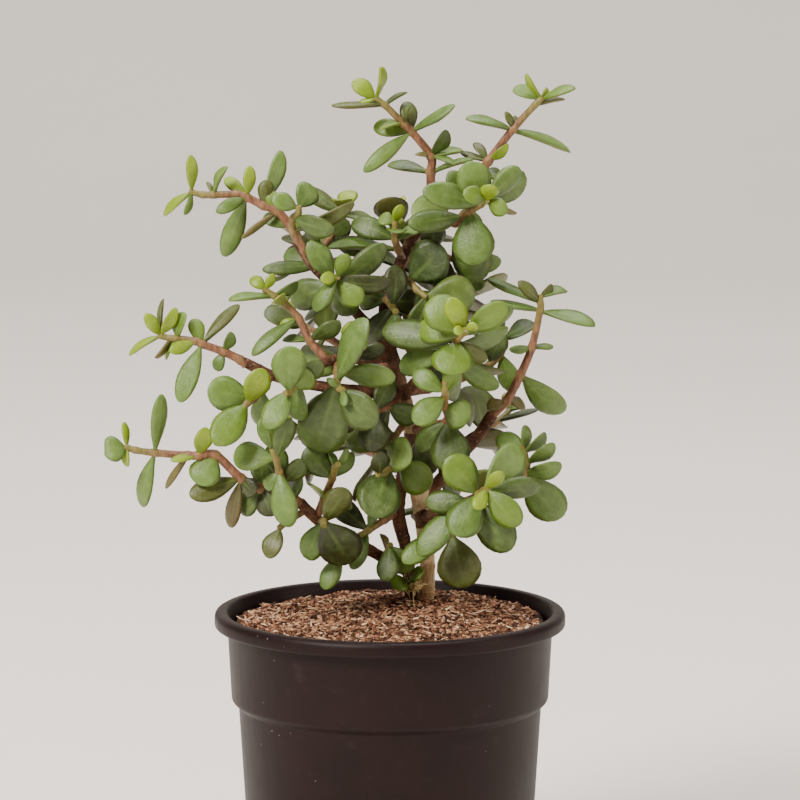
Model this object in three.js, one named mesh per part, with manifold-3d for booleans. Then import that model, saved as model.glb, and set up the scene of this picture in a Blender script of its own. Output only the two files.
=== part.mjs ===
// A small-leaved jade plant in a round plastic nursery pot.
//
// Frame: millimetres, +Z up, origin at the centre of the pot's flat underside. The plant leans out
// over the pot to -X, and -Y is the side that faces the viewer.
//
// The pot is a lathe-turned shell with a rolled rim, the potting mix is a closed bed with a plain
// hole, the woody trunk stands in that hole with its boughs, and every leafy spray is one solid:
// its jointed stems with a pair of fleshy leaves at each joint.

import * as THREE from 'three';
import { mergeVertices } from 'three/addons/utils/BufferGeometryUtils.js';
import Module from 'manifold-3d';

// ---- Driving dimensions -------------------------------------------------------------------------

const POT_HEIGHT = 115;
const POT_BASE_R = 51.3;
const POT_STEP_Z = 79.7; // where the lower wall meets the step under the band
const POT_STEP_R = 56.2;
const POT_BAND_Z = 82;
const POT_BAND_R = 58.8;
const POT_NECK_R = 60.4; // top of the band, under the rim
const POT_WALL = 1.6;
const POT_FLOOR = 2.2;
const RIM_R = 65;
const RIM_INNER_R = 60.5;
const RIM_DROP = 5.7; // height of the rolled rim
const RIM_SKIRT = 1.5; // thickness of the turned-down lip
const POT_SIDES = 36;
const DRAIN_COUNT = 6;
const DRAIN_R = 4.5;
const DRAIN_RING_R = 34;

const SOIL_TOP = 111.5;
const SOIL_MOUND = 4.5; // rise of the mix round the foot of the trunk
const SOIL_GAP = 0.4;
const SOIL_BUMP = 0.8;
const SOIL_SIDES = 24;

const FOOT = [10.8, 18.9]; // where the trunk goes into the mix
const FOOT_HOLE_R = 6.3;
const FOOT_HOLE_Z = 86;

const JOIN_GAP = 0.35; // between a spray and the wood that carries it
const LEAF_GAP = 0.3; // least room between leaves of different sprays
const TWIG_TIP_R = 1.05;
const TWIG_TAPER = 0.12; // growth of a stem's radius with the root of its distance from the tip
const LEAF_DROOP = 0.014; // how far a grown leaf hangs for each millimetre over DROOP_FROM
const DROOP_FROM = 8;
const LIGHT = new THREE.Vector3(-0.15, -0.7, 0.7); // the leaves turn their faces to it
const SEED = 20;
const LEAST_SOLID_LEAF = 8.5; // shorter leaves, at the tips, are only a finish

// ---- Routes -------------------------------------------------------------------------------------

// The trunk and its woody boughs. Each point is x, y, z and the radius there.
const WOOD = [
  // main trunk
  [[13, 18, 90, 3.2], [13, 18, 112, 3.2], [14, 14, 130, 3.0], [12, 9, 149, 3.5], [10, 5, 167, 4.0],
    [8, 2, 182, 3.4], [5, 0, 195, 2.8], [1, 2, 209, 2.6], [-2, 4, 221, 2.5], [-1, 6, 232, 2.4],
    [3, 6, 242, 2.3], [8, 6, 252, 2.2], [14, 7, 261, 2.1], [15, 6, 271, 2.0]],
  // second stem, on the trunk's left
  [[8, 20, 92, 2.6], [8, 20, 114, 2.6], [6, 14, 135, 2.7], [3, 10, 150, 2.7], [5, 6, 166, 2.6],
    [8, 2, 180, 2.2]],
  // low left bough
  [[7, 16, 126, 2.4], [-7, 6, 136, 2.3], [-17, -2, 143, 2.2], [-26, -10, 150, 2.2],
    [-33, -16, 158, 2.2]],
  // right bough
  [[12, 9, 153, 2.6], [20, 8, 164, 2.5], [32, 4, 179, 2.4], [38, 2, 188, 2.3]],
  // upper left bough
  [[0, 2, 212, 2.4], [-9, 0, 222, 2.3], [-20, -4, 235, 2.2], [-29, -6, 245, 2.1],
    [-34, -8, 253, 2.0]],
  // middle left bough
  [[5, 0, 195, 2.4], [-11, -10, 198, 2.3], [-27, -16, 201, 2.2], [-42, -20, 205, 2.1],
    [-54, -22, 211, 2.0]],
  // short front boughs: low right, centre and left
  [[11, 8, 147, 2.2], [18, -6, 153, 2.1], [27, -20, 159, 1.9]],
  [[5, 0, 195, 2.2], [13, -12, 206, 2.0], [18, -20, 214, 1.8]],
  [[1, 2, 209, 2.2], [-11, -12, 210, 2.1], [-20, -20, 211, 2.0], [-28, -29, 209, 1.9]],
  // fork at the crown
  [[13, 7, 259, 2.0], [24, 6, 267, 1.9]],
  [[11, 6, 256, 2.0], [20, 1, 261, 1.8]],
];

const FRONT = new THREE.Vector3(0, -1, 0);
const UP = new THREE.Vector3(0, 0, 1);

// How the pairs of leaves stand on a stem. Their roll is counted from the side of the stem towards
// `turn`. `opens` is how wide a pair opens from the stem in degrees, by joints back from the tip,
// `lean` how far its faces turn from the stem's way to the light, and `breadth` a leaf's width for
// its length. An outer stem is seen from the side and holds its leaves square to itself, or slanting
// to the light. A stem in the shade turns them to it. One that comes to the front ends in a rosette.
const SIDE = { turn: FRONT, opens: [42, 56, 64, 70], lean: 0.26, breadth: 0.72 };
const SLANT = { ...SIDE, lean: 0.42, breadth: 0.78 };
const SHADE = { turn: FRONT, opens: [46, 60, 68, 72], lean: 0.55, breadth: 0.84 };
const ROSETTE = { turn: UP, opens: [62, 76, 84, 88], lean: 0.5, breadth: 0.85 };

// The leafy sprays. A spray has one or more stems, and a stem is a route of joints from its root to
// its tip: x, y, z, and then the joint's leaves. A pair is the roll of the pair about the stem in
// degrees, the lengths of its two leaves, and how wide it opens where that isn't the usual angle. A
// leaf that is set singly is x, y, z of its tip, its width, and how far it is turned about its middle
// line from facing the viewer.
const SPRAYS = [
  { name: 'top_left', habit: SIDE, stems: [
    [[15, 6, 270, [2, 2, 264, 9, 20]], [15, 5, 277, [-1, 10, 280, 6, 50], [30, 0, 283, 5, -78]],
      [15, 4, 283, [21, 0, 292, 7, 40], [27, 5, 285, 6, -72], [10, 0, 284, 2, 20], [24, 0, 280, 5, -70]],
      [8, 2, 292, [6, 6, 303, 7, 20], [23, -5, 303, 7, -65], [-6, 5, 294, 7, 15], [-9, -7, 279, 6, 10]],
      [5, 1, 295, 20, 9, 9], [-2, 0, 302, [6, 4, 307, 5, -78], [-21, -6, 303, 7, 80]],
      [-5, 0, 304, [-2, -5, 316, 6, 72], [-15, 1, 308, 7, 30], [-10, -1, 300, 4, 60]]]] },
  { name: 'top_right', habit: SIDE, stems: [
    [[23, 6, 266], [28, 6, 271, 80, 12, 12], [33, 5, 277, -10, 10, 10],
      [36, 4, 281, [31, 8, 288, 4, 30], [43, 0, 287, 4, 20], [25, 8, 284, 4, 60]],
      [45, 2, 293, [28, -3, 298, 6, 62], [67, 11, 285, 7, -70], [43, -1, 299, 3, 20], [47, 5, 298, 3, 20]],
      [53, 0, 302, [64, 4, 304, 5, -80]],
      [55, 0, 304, [49, -4, 313, 4, -60], [45, 2, 308, 6, 35], [67, -4, 309, 6, -62], [58, 3, 308, 3, 30]]]] },
  { name: 'crown_front', habit: ROSETTE, stems: [
    [[19, 2, 260, 90, 18, 18], [24, -3, 259, -3, 18, 12],
      [27, -8, 262, [7, -19, 260, 9, 20], [32, -1, 238, 15, 5]],
      [29, -12, 264, [28, -17, 245, 16, 10], [22, -16, 279, 9, 20]],
      [33, -16, 267, [29, -24, 282, 13, 5], [50, -9, 277, 11, 20], [12, -24, 273, 10, 15]],
      [35, -19, 269, [46, -16, 281, 9, 20], [42, -24, 265, 7, 15], [46, -15, 262, 3, 30]],
      [35, -21, 269, [27, -26, 272, 7, 15], [41, -25, 275, 7, 15]]]] },
  { name: 'upper_left', habit: SLANT, stems: [
    [[-33, -8, 252, 0, 16, 16], [-36, -8, 258, [-46, -6, 262, 6, 20]],
      [-41, -9, 264, [-53, -16, 254, 4, -60], [-43, -10, 271, 6, 10]],
      [-46, -9, 266, [-39, 2, 285, 7, 25], [-44, -15, 273, 6, 10]],
      [-52, -9, 269, [-50, -12, 280, 5, 20], [-60, -5, 276, 5, 20], [-62, -16, 265, 5, 15], [-61, -1, 246, 8, 5]],
      [-56, -9, 270], [-64, -10, 270, [-60, -14, 281, 4, -60], [-66, -9, 275, 2, 20]],
      [-68, -10, 270],
      [-72, -10, 271, [-71, -15, 284, 5, 30], [-84, -5, 263, 5, 45], [-73, -13, 263, 4, -50]]]] },
  { name: 'upper_left_near', habit: SHADE, stems: [
    [[-29, -7, 245], [-31, -12, 250], [-35, -14, 257, [-13, -23, 267, 6, 30]],
      [-35, -16, 262, [-18, -20, 260, 9, 15]], [-33, -18, 264],
      [-33, -19, 266, [-28, -15, 274, 10, 15], [-42, -23, 270, 7, 20]]]] },
  { name: 'upper_left_front', habit: ROSETTE, stems: [
    [[-20, -5, 235],
      [-20, -12, 237, [-37, -4, 231, 12, 10], [-1, -16, 251, 10, 20], [-14, -6, 225, 11, 20]],
      [-20, -17, 240, [-27, -21, 255, 9, 15], [-10, -21, 232, 11, 10], [0, -24, 239, 9, 30]],
      [-19, -20, 241, [-24, -24, 241, 5, 10], [-14, -26, 249, 6, 15], [-32, -14, 237, 8, 30]]]] },
  { name: 'upper_left_back', habit: SHADE, stems: [
    [[-22, -4, 237, 0, 18, 18], [-24, 0, 243, [-39, 7, 247, 8, 20], [-46, -5, 239, 6, 30]],
      [-25, 3, 248, [-39, -2, 254, 5, 40], [-31, 4, 255, 6, 20]],
      [-22, 4, 253, [-15, 5, 259, 8, 10], [-7, 8, 247, 9, 20]], [-17, 7, 261, 0, 12, 17, 75],
      [-17, 7, 263, 90, 9, 9]]] },
  { name: 'crown_left', habit: SHADE, stems: [
    [[5, 6, 245, 90, 17, 17], [3, 0, 249, [-22, 6, 251, 6, 60]],
      [2, -3, 253, [11, -7, 258, 5, -50], [-14, 0, 260, 9, 20]], [2, -4, 256, 90, 10, 10],
      [2, -4, 259, [4, -8, 266, 5, 20], [-4, -1, 261, 6, 30]],
      [2, -4, 261, [-2, -3, 253, 3, 30]]]] },
  { name: 'twig_left', habit: SIDE, stems: [
    [[-22, -22, 210], [-29, -20, 218, [-39, -17, 218, 4, 50], [-18, -26, 225, 8, 30]],
      [-33, -19, 226, [-50, -27, 215, 6, 35], [-40, -18, 223, 3, 30]], [-38, -18, 231, 90, 9, 9],
      [-42, -18, 234, [-58, -24, 234, 6, 70], [-33, -14, 238, 5, 30]],
      [-45, -18, 236, [-50, -17, 241, 5, 20], [-42, -19, 242, 4, 20]]]] },
  { name: 'mid_left', habit: SLANT, stems: [
    [[-52, -22, 209],
      [-54, -22, 211, [-52, -19, 221, 6, 20], [-68, -27, 209, 5, 60], [-46, -19, 219, 3, -50]],
      [-60, -22, 214, [-57, -24, 221, 5, 30], [-63, -22, 207, 5, 20]],
      [-68, -23, 217, [-71, -20, 226, 6, 10], [-76, -31, 197, 8, 10], [-55, -15, 231, 6, -40]],
      [-70, -23, 218, [-79, -29, 215, 5, 10]], [-77, -23, 219, 0, 10, 9],
      [-79, -23, 219, [-84, -27, 212, 4, -65]],
      [-83, -23, 220, [-96, -18, 214, 5, 60], [-87, -28, 228, 5, 20], [-83, -17, 233, 4, -65], [-77, -26, 230, 5, 20]]]] },
  { name: 'lower_left', habit: SLANT, stems: [
    [[-32, -15, 157, 90, 16, 16], [-35, -17, 159, 0, 14, 14, 60],
      [-40, -19, 161, [-38, -20, 152, 7, 20]],
      [-47, -22, 164, [-55, -18, 154, 9, 20], [-42, -26, 155, 9, 15], [-47, -16, 174, 9, 20]],
      [-54, -24, 168, [-72, -32, 163, 9, 25], [-59, -19, 148, 6, 10], [-49, -28, 163, 8, 20]],
      [-63, -27, 177, [-69, -32, 167, 12, 10]],
      [-69, -28, 177, [-66, -34, 188, 7, 15], [-79, -32, 176, 4, 50]],
      [-73, -28, 177, [-82, -22, 164, 4, 55]],
      [-85, -28, 178, [-82, -34, 200, 7, 35], [-92, -20, 156, 7, 25]], [-92, -28, 179],
      [-95, -28, 180, [-103, -32, 179, 10, 20], [-96, -25, 189, 4, 45], [-95, -29, 173, 4, 45]]],
    [[-40, -19, 161], [-39, -27, 167, [-42, -23, 181, 9, 20], [-31, -27, 175, 9, 30]],
      [-40, -32, 172, [-37, -36, 152, 10, 10], [-45, -30, 165, 6, 20]],
      [-41, -35, 177, [-57, -31, 177, 11, 20], [-36, -40, 192, 9, 20]],
      [-42, -36, 180, [-44, -42, 191, 7, 20]]]] },
  { name: 'right', habit: SIDE, stems: [
    [[37, 2, 187], [39, 2, 189, 90, 12, 10],
      [43, 1, 193, [36, -3, 191, 6, 45], [51, 5, 191, 6, -45]],
      [48, -1, 203, [61, 7, 184, 11, 15]],
      [52, -2, 213, [44, -5, 213, 6, 66], [60, 2, 214, 5, -66]],
      [55, -4, 227, [37, -1, 231, 6, 70], [75, -10, 223, 7, -50]],
      [55, -4, 230, [48, -9, 238, 5, 20], [36, 2, 239, 6, 62]],
      [55, -4, 232, [65, 0, 235, 5, -55], [56, -6, 238, 4, 30]]]] },
  { name: 'centre_front', habit: ROSETTE, stems: [
    [[17, -19, 213],
      [21, -25, 215, [3, -17, 207, 10, 20], [39, -21, 200, 9, 20], [45, -11, 219, 9, 30]],
      [24, -29, 219, [22, -38, 208, 16, 5], [-3, -23, 222, 12, 20], [34, -31, 211, 8, 25]],
      [25, -33, 221, [9, -26, 224, 10, 15], [44, -38, 232, 9, 20]],
      [27, -36, 223, [42, -40, 233, 10, 10], [17, -30, 236, 14, 8], [22, -43, 235, 8, 5]],
      [27, -39, 224, [23, -41, 224, 4, 20], [31, -42, 226, 4, 20]]]] },
  { name: 'lower_right', habit: ROSETTE, stems: [
    [[25, -18, 158], [27, -22, 159, [7, -13, 146, 11, 20], [18, -18, 170, 11, 20]],
      [29, -25, 160, [44, -31, 143, 15, 15], [15, -17, 157, 9, 20]],
      [32, -29, 163, [21, -33, 177, 13, 10], [24, -36, 149, 14, 10]],
      [34, -33, 165, [55, -28, 165, 10, 25], [48, -24, 180, 14, 15]],
      [35, -36, 166, [46, -40, 153, 11, 10], [40, -41, 173, 6, 20], [31, -42, 160, 6, 10]]]] },
  { name: 'mid_left_front', habit: ROSETTE, stems: [
    [[-27, -28, 209, 0, 16, 16], [-33, -35, 206, [-33, -29, 189, 9, 20], [-24, -37, 212, 9, 30]],
      [-35, -39, 203, [-44, -47, 190, 10, 20], [-28, -39, 209, 10, 15]],
      [-36, -42, 202, [-36, -46, 219, 13, 5]], [-37, -44, 202]]] },
  { name: 'mid_left_side', habit: SHADE, stems: [
    [[-43, -20, 205], [-46, -26, 201, [-46, -20, 184, 10, 20]],
      [-49, -30, 198, [-65, -37, 202, 13, 15]],
      [-51, -33, 197, [-63, -42, 182, 12, 10], [-45, -40, 210, 10, 15]], [-53, -34, 195],
      [-56, -34, 193]]] },
  { name: 'centre_left', habit: ROSETTE, stems: [
    [[-19, -19, 211, 90, 17, 17], [-19, -25, 207, [-25, -16, 225, 12, 15], [2, -31, 206, 10, 20]],
      [-19, -30, 204, [-9, -39, 228, 12, -40], [-22, -23, 175, 19, 10]],
      [-18, -33, 202, [-22, -34, 206, 3, 20], [-5, -39, 190, 14, 15]],
      [-17, -35, 202, [-16, -40, 197, 4, 30]]]] },
  { name: 'bough_left_up', habit: SHADE, stems: [
    [[-15, -13, 208, 0, 17, 17], [-14, -19, 211, [-17, -15, 224, 9, 20], [-2, -21, 216, 7, 20]],
      [-14, -22, 215, 90, 13, 10, 40]]] },
  { name: 'centre_low', habit: ROSETTE, stems: [
    [[8, 2, 182], [15, -8, 185, [0, 0, 174, 12, 10]],
      [21, -15, 188, [23, -21, 170, 15, 5], [10, -10, 176, 9, 10]],
      [20, -20, 194, [28, -24, 189, 13, 15]],
      [20, -24, 198, [9, -30, 190, 10, 15], [35, -16, 199, 11, 20]],
      [20, -27, 200, [10, -26, 209, 8, 10], [24, -33, 209, 7, 10]],
      [20, -29, 204, [29, -34, 213, 7, 30], [18, -25, 214, 9, 20]]]] },
  { name: 'lower_right_side', habit: SHADE, stems: [
    [[23, -14, 156, 0, 17, 17], [33, -13, 160, 90, 18, 16], [42, -13, 164, [40, -16, 148, 11, 20]],
      [49, -14, 168, [63, -7, 150, 15, 12], [62, -20, 172, 8, 25]],
      [50, -15, 172, [60, -20, 180, 7, 30], [40, -7, 183, 9, 15]],
      [49, -15, 176, [50, -12, 186, 5, 30], [57, -17, 183, 6, 40]], [48, -15, 178]]] },
  { name: 'lower_under', habit: ROSETTE, stems: [
    [[13, 9, 147], [16, -1, 148, [7, 3, 156, 10, 10]],
      [20, -8, 146, [5, -14, 135, 9, 20], [12, -6, 139, 7, 30]],
      [23, -12, 145, [27, -16, 126, 17, 10]]]] },
  { name: 'low_left_rosette', habit: ROSETTE, stems: [
    [[-26, -10, 150], [-24, -16, 151, [-31, -13, 136, 10, 20]],
      [-24, -19, 151, [-16, -24, 164, 11, 15]], [-24, -22, 152, [-14, -17, 135, 17, 10]],
      [-24, -24, 151]]] },
  { name: 'low_left_end', habit: ROSETTE, stems: [
    [[-30, -13, 155], [-37, -16, 151], [-40, -18, 149, [-44, -24, 139, 8, 20]]]] },
  { name: 'low_left_twig', habit: SHADE, stems: [
    [[3, 10, 150], [-2, 4, 148, [-10, 6, 145, 3, 50]],
      [-8, -2, 145, [-14, -9, 132, 7, 30], [-5, 2, 156, 5, 20], [-22, 3, 156, 9, 20]],
      [-11, -6, 144]]] },
  { name: 'low_left_drop', habit: SHADE, stems: [
    [[-16, -1, 141], [-17, -3, 138], [-18, -5, 137, [-22, -11, 124, 8, 20]]]] },
  { name: 'low_left_near', habit: SHADE, stems: [
    [[-3, 9, 133], [-1, 3, 136, [-3, 6, 143, 3, 40]],
      [0, 0, 139, [-1, -7, 127, 9, 15], [8, 1, 129, 10, 15]]]] },
  { name: 'low_left_up', habit: ROSETTE, stems: [
    [[-27, -11, 151], [-24, -13, 159, 0, 14, 14],
      [-21, -18, 167, [-29, -24, 178, 11, 15], [-13, -15, 176, 6, 30]],
      [-20, -22, 171, [-22, -18, 178, 4, 40], [-16, -24, 179, 4, 40]], [-19, -25, 173]]] },
  { name: 'inner_left', habit: ROSETTE, stems: [
    [[5, 1, 194, 90, 18, 18], [-1, -8, 192, [4, -4, 181, 10, 10], [-15, -9, 195, 11, 20]],
      [-6, -14, 191, [-6, -22, 178, 12, 15], [1, -7, 203, 9, 20]],
      [-8, -19, 191, [-18, -10, 180, 12, 20]], [-10, -22, 192]]] },
  { name: 'inner_low', habit: ROSETTE, stems: [
    [[9, 4, 172, 90, 18, 18], [3, -5, 171, [11, -1, 159, 14, 10], [4, -5, 183, 9, 20]],
      [0, -12, 170, [-10, -22, 155, 17, 10]], [-2, -17, 169, [-14, -9, 164, 11, 20]],
      [-4, -20, 169, [-5, -22, 179, 8, 20]]]] },
  { name: 'inner_crown', habit: ROSETTE, stems: [
    [[-1, 6, 231, 90, 19, 19], [-1, -4, 231, [-15, 0, 226, 12, 15], [12, 0, 230, 10, 10]],
      [1, -10, 229, [3, -12, 244, 10, 20], [-10, -3, 217, 9, 20]],
      [2, -14, 228, [3, -11, 215, 10, 20]]]] },
  { name: 'inner_middle', habit: ROSETTE, stems: [
    [[7, 0, 212, 0, 18, 18], [9, -8, 215, [15, -1, 202, 10, 10]],
      [10, -13, 217, [11, -18, 236, 9, 15]]]] },
  { name: 'inner_dark', habit: SHADE, stems: [
    [[5, 3, 184, 90, 18, 18], [2, -6, 181, 0, 20, 20], [-1, -12, 178, 90, 19, 18]]] },
  { name: 'crown_right', habit: SHADE, stems: [
    [[7, 6, 249, 0, 18, 18], [15, 2, 248, [13, 4, 237, 12, 10], [18, -1, 258, 10, 15]],
      [21, 0, 246, [40, -5, 243, 9, 20], [20, 5, 234, 10, 15]],
      [26, -2, 245, [38, 5, 251, 8, 30], [30, -6, 232, 9, 20]]]] },
  { name: 'crown_under', habit: SHADE, stems: [
    [[3, 5, 240], [7, -4, 238, 0, 20, 19], [10, -8, 235, 90, 19, 18],
      [13, -10, 233, 0, 18, 18, 60]]] },
  { name: 'centre_right', habit: SHADE, stems: [
    [[5, 0, 196, 0, 18, 18], [14, 4, 197, [15, 11, 211, 10, 10]], [22, 6, 199, 0, 18, 16],
      [30, 6, 202, 90, 19, 17], [37, 6, 206, [40, 0, 219, 9, 15]],
      [41, 6, 210, [46, 9, 195, 9, 20]], [42, 6, 215, 0, 13, 15]]] },
  { name: 'foot_bud', habit: SHADE, stems: [
    [[9, 18, 121], [8, 14, 122], [7, 11, 124, 20, 9, 9]]] },
  { name: 'back_high', habit: SHADE, stems: [
    [[1, 6, 237], [4, 14, 241, 0, 20, 20], [7, 20, 246, 90, 20, 19], [6, 25, 251, 0, 20, 19],
      [4, 28, 255, 90, 16, 16], [2, 30, 259, 0, 8, 8]]] },
  { name: 'back_left_high', habit: SHADE, stems: [
    [[-13, -1, 227], [-19, 10, 233, 0, 19, 18], [-24, 17, 239, 90, 19, 19],
      [-28, 23, 244, 0, 19, 19], [-32, 28, 249, 90, 16, 16], [-35, 32, 252, 0, 8, 8]]] },
  { name: 'back_left', habit: SHADE, stems: [
    [[2, 2, 204], [-5, 12, 206, 0, 18, 19], [-15, 22, 209, 90, 20, 19], [-24, 31, 213, 0, 20, 19],
      [-32, 38, 216, 90, 17, 17], [-37, 43, 219, 0, 8, 8]]] },
  { name: 'back_right', habit: SHADE, stems: [
    [[0, 3, 213], [8, 14, 215, 0, 19, 18], [17, 24, 219, 90, 20, 19], [25, 33, 223, 0, 19, 19],
      [30, 40, 227, 90, 17, 16], [33, 44, 230, 0, 8, 8]]] },
  { name: 'back_right_low', habit: SHADE, stems: [
    [[10, 5, 166], [18, 17, 169, 0, 20, 18], [26, 28, 173, 90, 20, 20], [35, 38, 176, 0, 19, 19],
      [41, 46, 179, 90, 16, 16], [45, 51, 182, 0, 8, 8]]] },
  { name: 'back_left_low', habit: SHADE, stems: [
    [[5, 6, 167], [-4, 18, 170, 0, 19, 20], [-14, 29, 172, 90, 20, 19], [-24, 39, 173, 0, 19, 19],
      [-33, 47, 175, 90, 17, 16], [-38, 52, 177, 0, 8, 8]]] },
  { name: 'back_low', habit: SHADE, stems: [
    [[12, 10, 147], [13, 24, 149, 0, 19, 18], [11, 36, 153, 90, 20, 19], [8, 46, 156, 0, 18, 17],
      [4, 52, 158, 90, 8, 8]]] },
  { name: 'back_centre', habit: SHADE, stems: [
    [[-2, 4, 221], [-1, 18, 220, 0, 20, 20], [1, 29, 220, 90, 20, 19], [4, 38, 222, 0, 18, 18],
      [7, 44, 225, 90, 8, 8]]] },
];

// ---- Solids -------------------------------------------------------------------------------------

const wasm = await Module();
wasm.setup();

// A closed geometry as a solid that can be joined and cut.
function solidOf(geometry) {
  const bare = geometry.index ? geometry.clone() : geometry;
  bare.deleteAttribute('normal');
  bare.deleteAttribute('uv');
  const merged = mergeVertices(bare, 1e-4);
  return new wasm.Manifold(new wasm.Mesh({
    numProp: 3,
    vertProperties: new Float32Array(merged.attributes.position.array),
    triVerts: new Uint32Array(merged.index.array),
  }));
}

// A solid as a geometry again. A loose scrap that a cut leaves is dropped.
function geometryOf(solid) {
  const whole = solid.decompose().reduce((a, b) => (b.volume() > a.volume() ? b : a));
  const mesh = whole.getMesh();
  const geometry = new THREE.BufferGeometry();
  geometry.setAttribute('position', new THREE.BufferAttribute(new Float32Array(mesh.vertProperties), 3));
  geometry.setIndex(Array.from(mesh.triVerts));
  return geometry;
}

// A closed surface through rings of equal point counts, capped by a fan at each end.
function loft(rings) {
  const count = rings[0].length;
  const points = rings.flat();
  const faces = [];
  for (let i = 0; i < rings.length - 1; i++) {
    for (let j = 0; j < count; j++) {
      const a = i * count + j;
      const b = i * count + ((j + 1) % count);
      faces.push(a, b, b + count, a, b + count, a + count);
    }
  }
  const last = (rings.length - 1) * count;
  for (let j = 1; j < count - 1; j++) {
    faces.push(0, j + 1, j, last, last + j, last + j + 1);
  }
  const geometry = new THREE.BufferGeometry().setFromPoints(points);
  geometry.setIndex(faces);
  return geometry;
}

// A route with its last point moved on by a length.
function lengthened(points, length) {
  const [before, end] = points.slice(-2);
  const tip = end.clone().sub(before).setLength(length);
  return [...points.slice(0, -1), end.clone().add(tip)];
}

// A tapered round stem along a smooth curve through its points.
const LONG_STEP = 25;

function stemGeometry(points, radii, sides) {
  const curve = new THREE.CatmullRomCurve3(points, false, 'catmullrom', 0.5);
  const stations = [];
  for (let i = 0; i < points.length - 1; i++) {
    const pieces = points[i].distanceTo(points[i + 1]) > LONG_STEP ? 2 : 1;
    for (let k = 0; k < pieces; k++) {
      stations.push(i + k / pieces);
    }
  }
  stations.push(points.length - 1);
  let normal = new THREE.Vector3();
  const rings = stations.map((s, index) => {
    const t = s / (points.length - 1);
    const centre = curve.getPoint(t);
    const along = curve.getTangent(t);
    if (index === 0) {
      normal.crossVectors(along, Math.abs(along.z) < 0.8 ? UP : FRONT).normalize();
    } else {
      normal.addScaledVector(along, -normal.dot(along)).normalize();
    }
    const across = new THREE.Vector3().crossVectors(along, normal);
    const low = Math.min(Math.floor(s), points.length - 2);
    const radius = THREE.MathUtils.lerp(radii[low], radii[low + 1], s - low);
    return Array.from({ length: sides }, (_, j) => {
      const angle = (j / sides) * 2 * Math.PI;
      return centre.clone()
        .addScaledVector(normal, radius * Math.cos(angle))
        .addScaledVector(across, radius * Math.sin(angle));
    });
  });
  return loft(rings);
}

// ---- Leaves: where they grow --------------------------------------------------------------------

// Seeded random numbers from 0 to 1.
function randomSource(seed) {
  let state = seed >>> 0;
  return () => {
    state = (state + 0x6d2b79f5) >>> 0;
    let t = Math.imul(state ^ (state >>> 15), state | 1);
    t ^= t + Math.imul(t ^ (t >>> 7), t | 61);
    return ((t ^ (t >>> 14)) >>> 0) / 4294967296;
  };
}

const draw = randomSource(SEED);
const jitter = (amount) => (2 * draw() - 1) * amount;

// A leaf's frame: its root on the stem, the way it points, the way its blade faces, and its size.
function leafFrame(root, way, face, length, width) {
  const along = way.clone().normalize();
  const facing = face.clone().addScaledVector(along, -face.dot(along)).normalize();
  return {
    root,
    along,
    face: facing,
    across: new THREE.Vector3().crossVectors(facing, along),
    length,
    width,
    thick: 1.0 + 0.06 * length,
  };
}

// One leaf of a pair, from how the pair stands on its stem.
function pairedLeaf(joint, along, habit, roll, open, length) {
  const front = habit.turn.clone().addScaledVector(along, -habit.turn.dot(along)).normalize();
  const side = new THREE.Vector3().crossVectors(along, front);
  const r = THREE.MathUtils.degToRad(roll + jitter(8));
  const a = THREE.MathUtils.degToRad(open + jitter(7));
  const width = length * (habit.breadth + jitter(0.07));
  const lean = habit.lean + jitter(0.15);
  const way = along.clone().multiplyScalar(Math.cos(a))
    .addScaledVector(side, Math.sin(a) * Math.cos(r))
    .addScaledVector(front, Math.sin(a) * Math.sin(r));
  way.z -= LEAF_DROOP * Math.max(length - DROOP_FROM, 0);
  way.normalize();
  const face = along.clone().multiplyScalar(1 - lean).addScaledVector(LIGHT, lean);
  face.addScaledVector(way, -face.dot(way)).normalize();
  face.applyAxisAngle(way, THREE.MathUtils.degToRad(jitter(14)));
  return leafFrame(joint, way, face, length, width);
}

// A leaf that is set singly, from its tip, its width and how far it is turned about its middle line
// from facing the viewer.
function singleLeaf(joint, [x, y, z, width, turned]) {
  const way = new THREE.Vector3(x, y, z).sub(joint);
  const leaf = leafFrame(joint, way, FRONT, way.length(), width);
  const face = leaf.face.applyAxisAngle(leaf.along, THREE.MathUtils.degToRad(turned));
  return leafFrame(joint, way, face, leaf.length, width);
}

// Points over a leaf, for testing how near it comes to anything else.
const RIM_POINTS = 14;

function leafPoints(leaf) {
  const at = (u, v) => leaf.root.clone()
    .addScaledVector(leaf.along, u * leaf.length)
    .addScaledVector(leaf.across, v * leaf.width);
  const points = [at(0.16, 0), at(0.56, 0)];
  for (let i = 0; i < RIM_POINTS; i++) {
    const angle = (i / RIM_POINTS) * 2 * Math.PI;
    points.push(at(0.56 + 0.45 * Math.cos(angle), 0.5 * Math.sin(angle)));
    if (i % 2 === 0) {
      points.push(at(0.56 + 0.24 * Math.cos(angle), 0.27 * Math.sin(angle)));
    }
  }
  return points;
}

function leafTouches(points, leaf, room) {
  return points.some((p) => {
    const q = p.clone().sub(leaf.root);
    if (Math.abs(q.dot(leaf.face)) > room) {
      return false;
    }
    const u = (q.dot(leaf.along) - 0.54 * leaf.length) / (0.48 * leaf.length + 0.5 * room);
    const v = q.dot(leaf.across) / (0.5 * leaf.width + 0.5 * room);
    return u * u + v * v < 1;
  });
}

function stemTouches(points, stem, room) {
  const away = new THREE.Vector3();
  return points.some((p) => stem.points.some((start, i) => {
    if (i === stem.points.length - 1) {
      return false;
    }
    const span = stem.points[i + 1].clone().sub(start);
    const t = THREE.MathUtils.clamp(away.subVectors(p, start).dot(span) / span.lengthSq(), 0, 1);
    const reach = stem.radii[i] + room;
    return away.addScaledVector(span, -t).lengthSq() < reach * reach;
  }));
}

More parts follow.
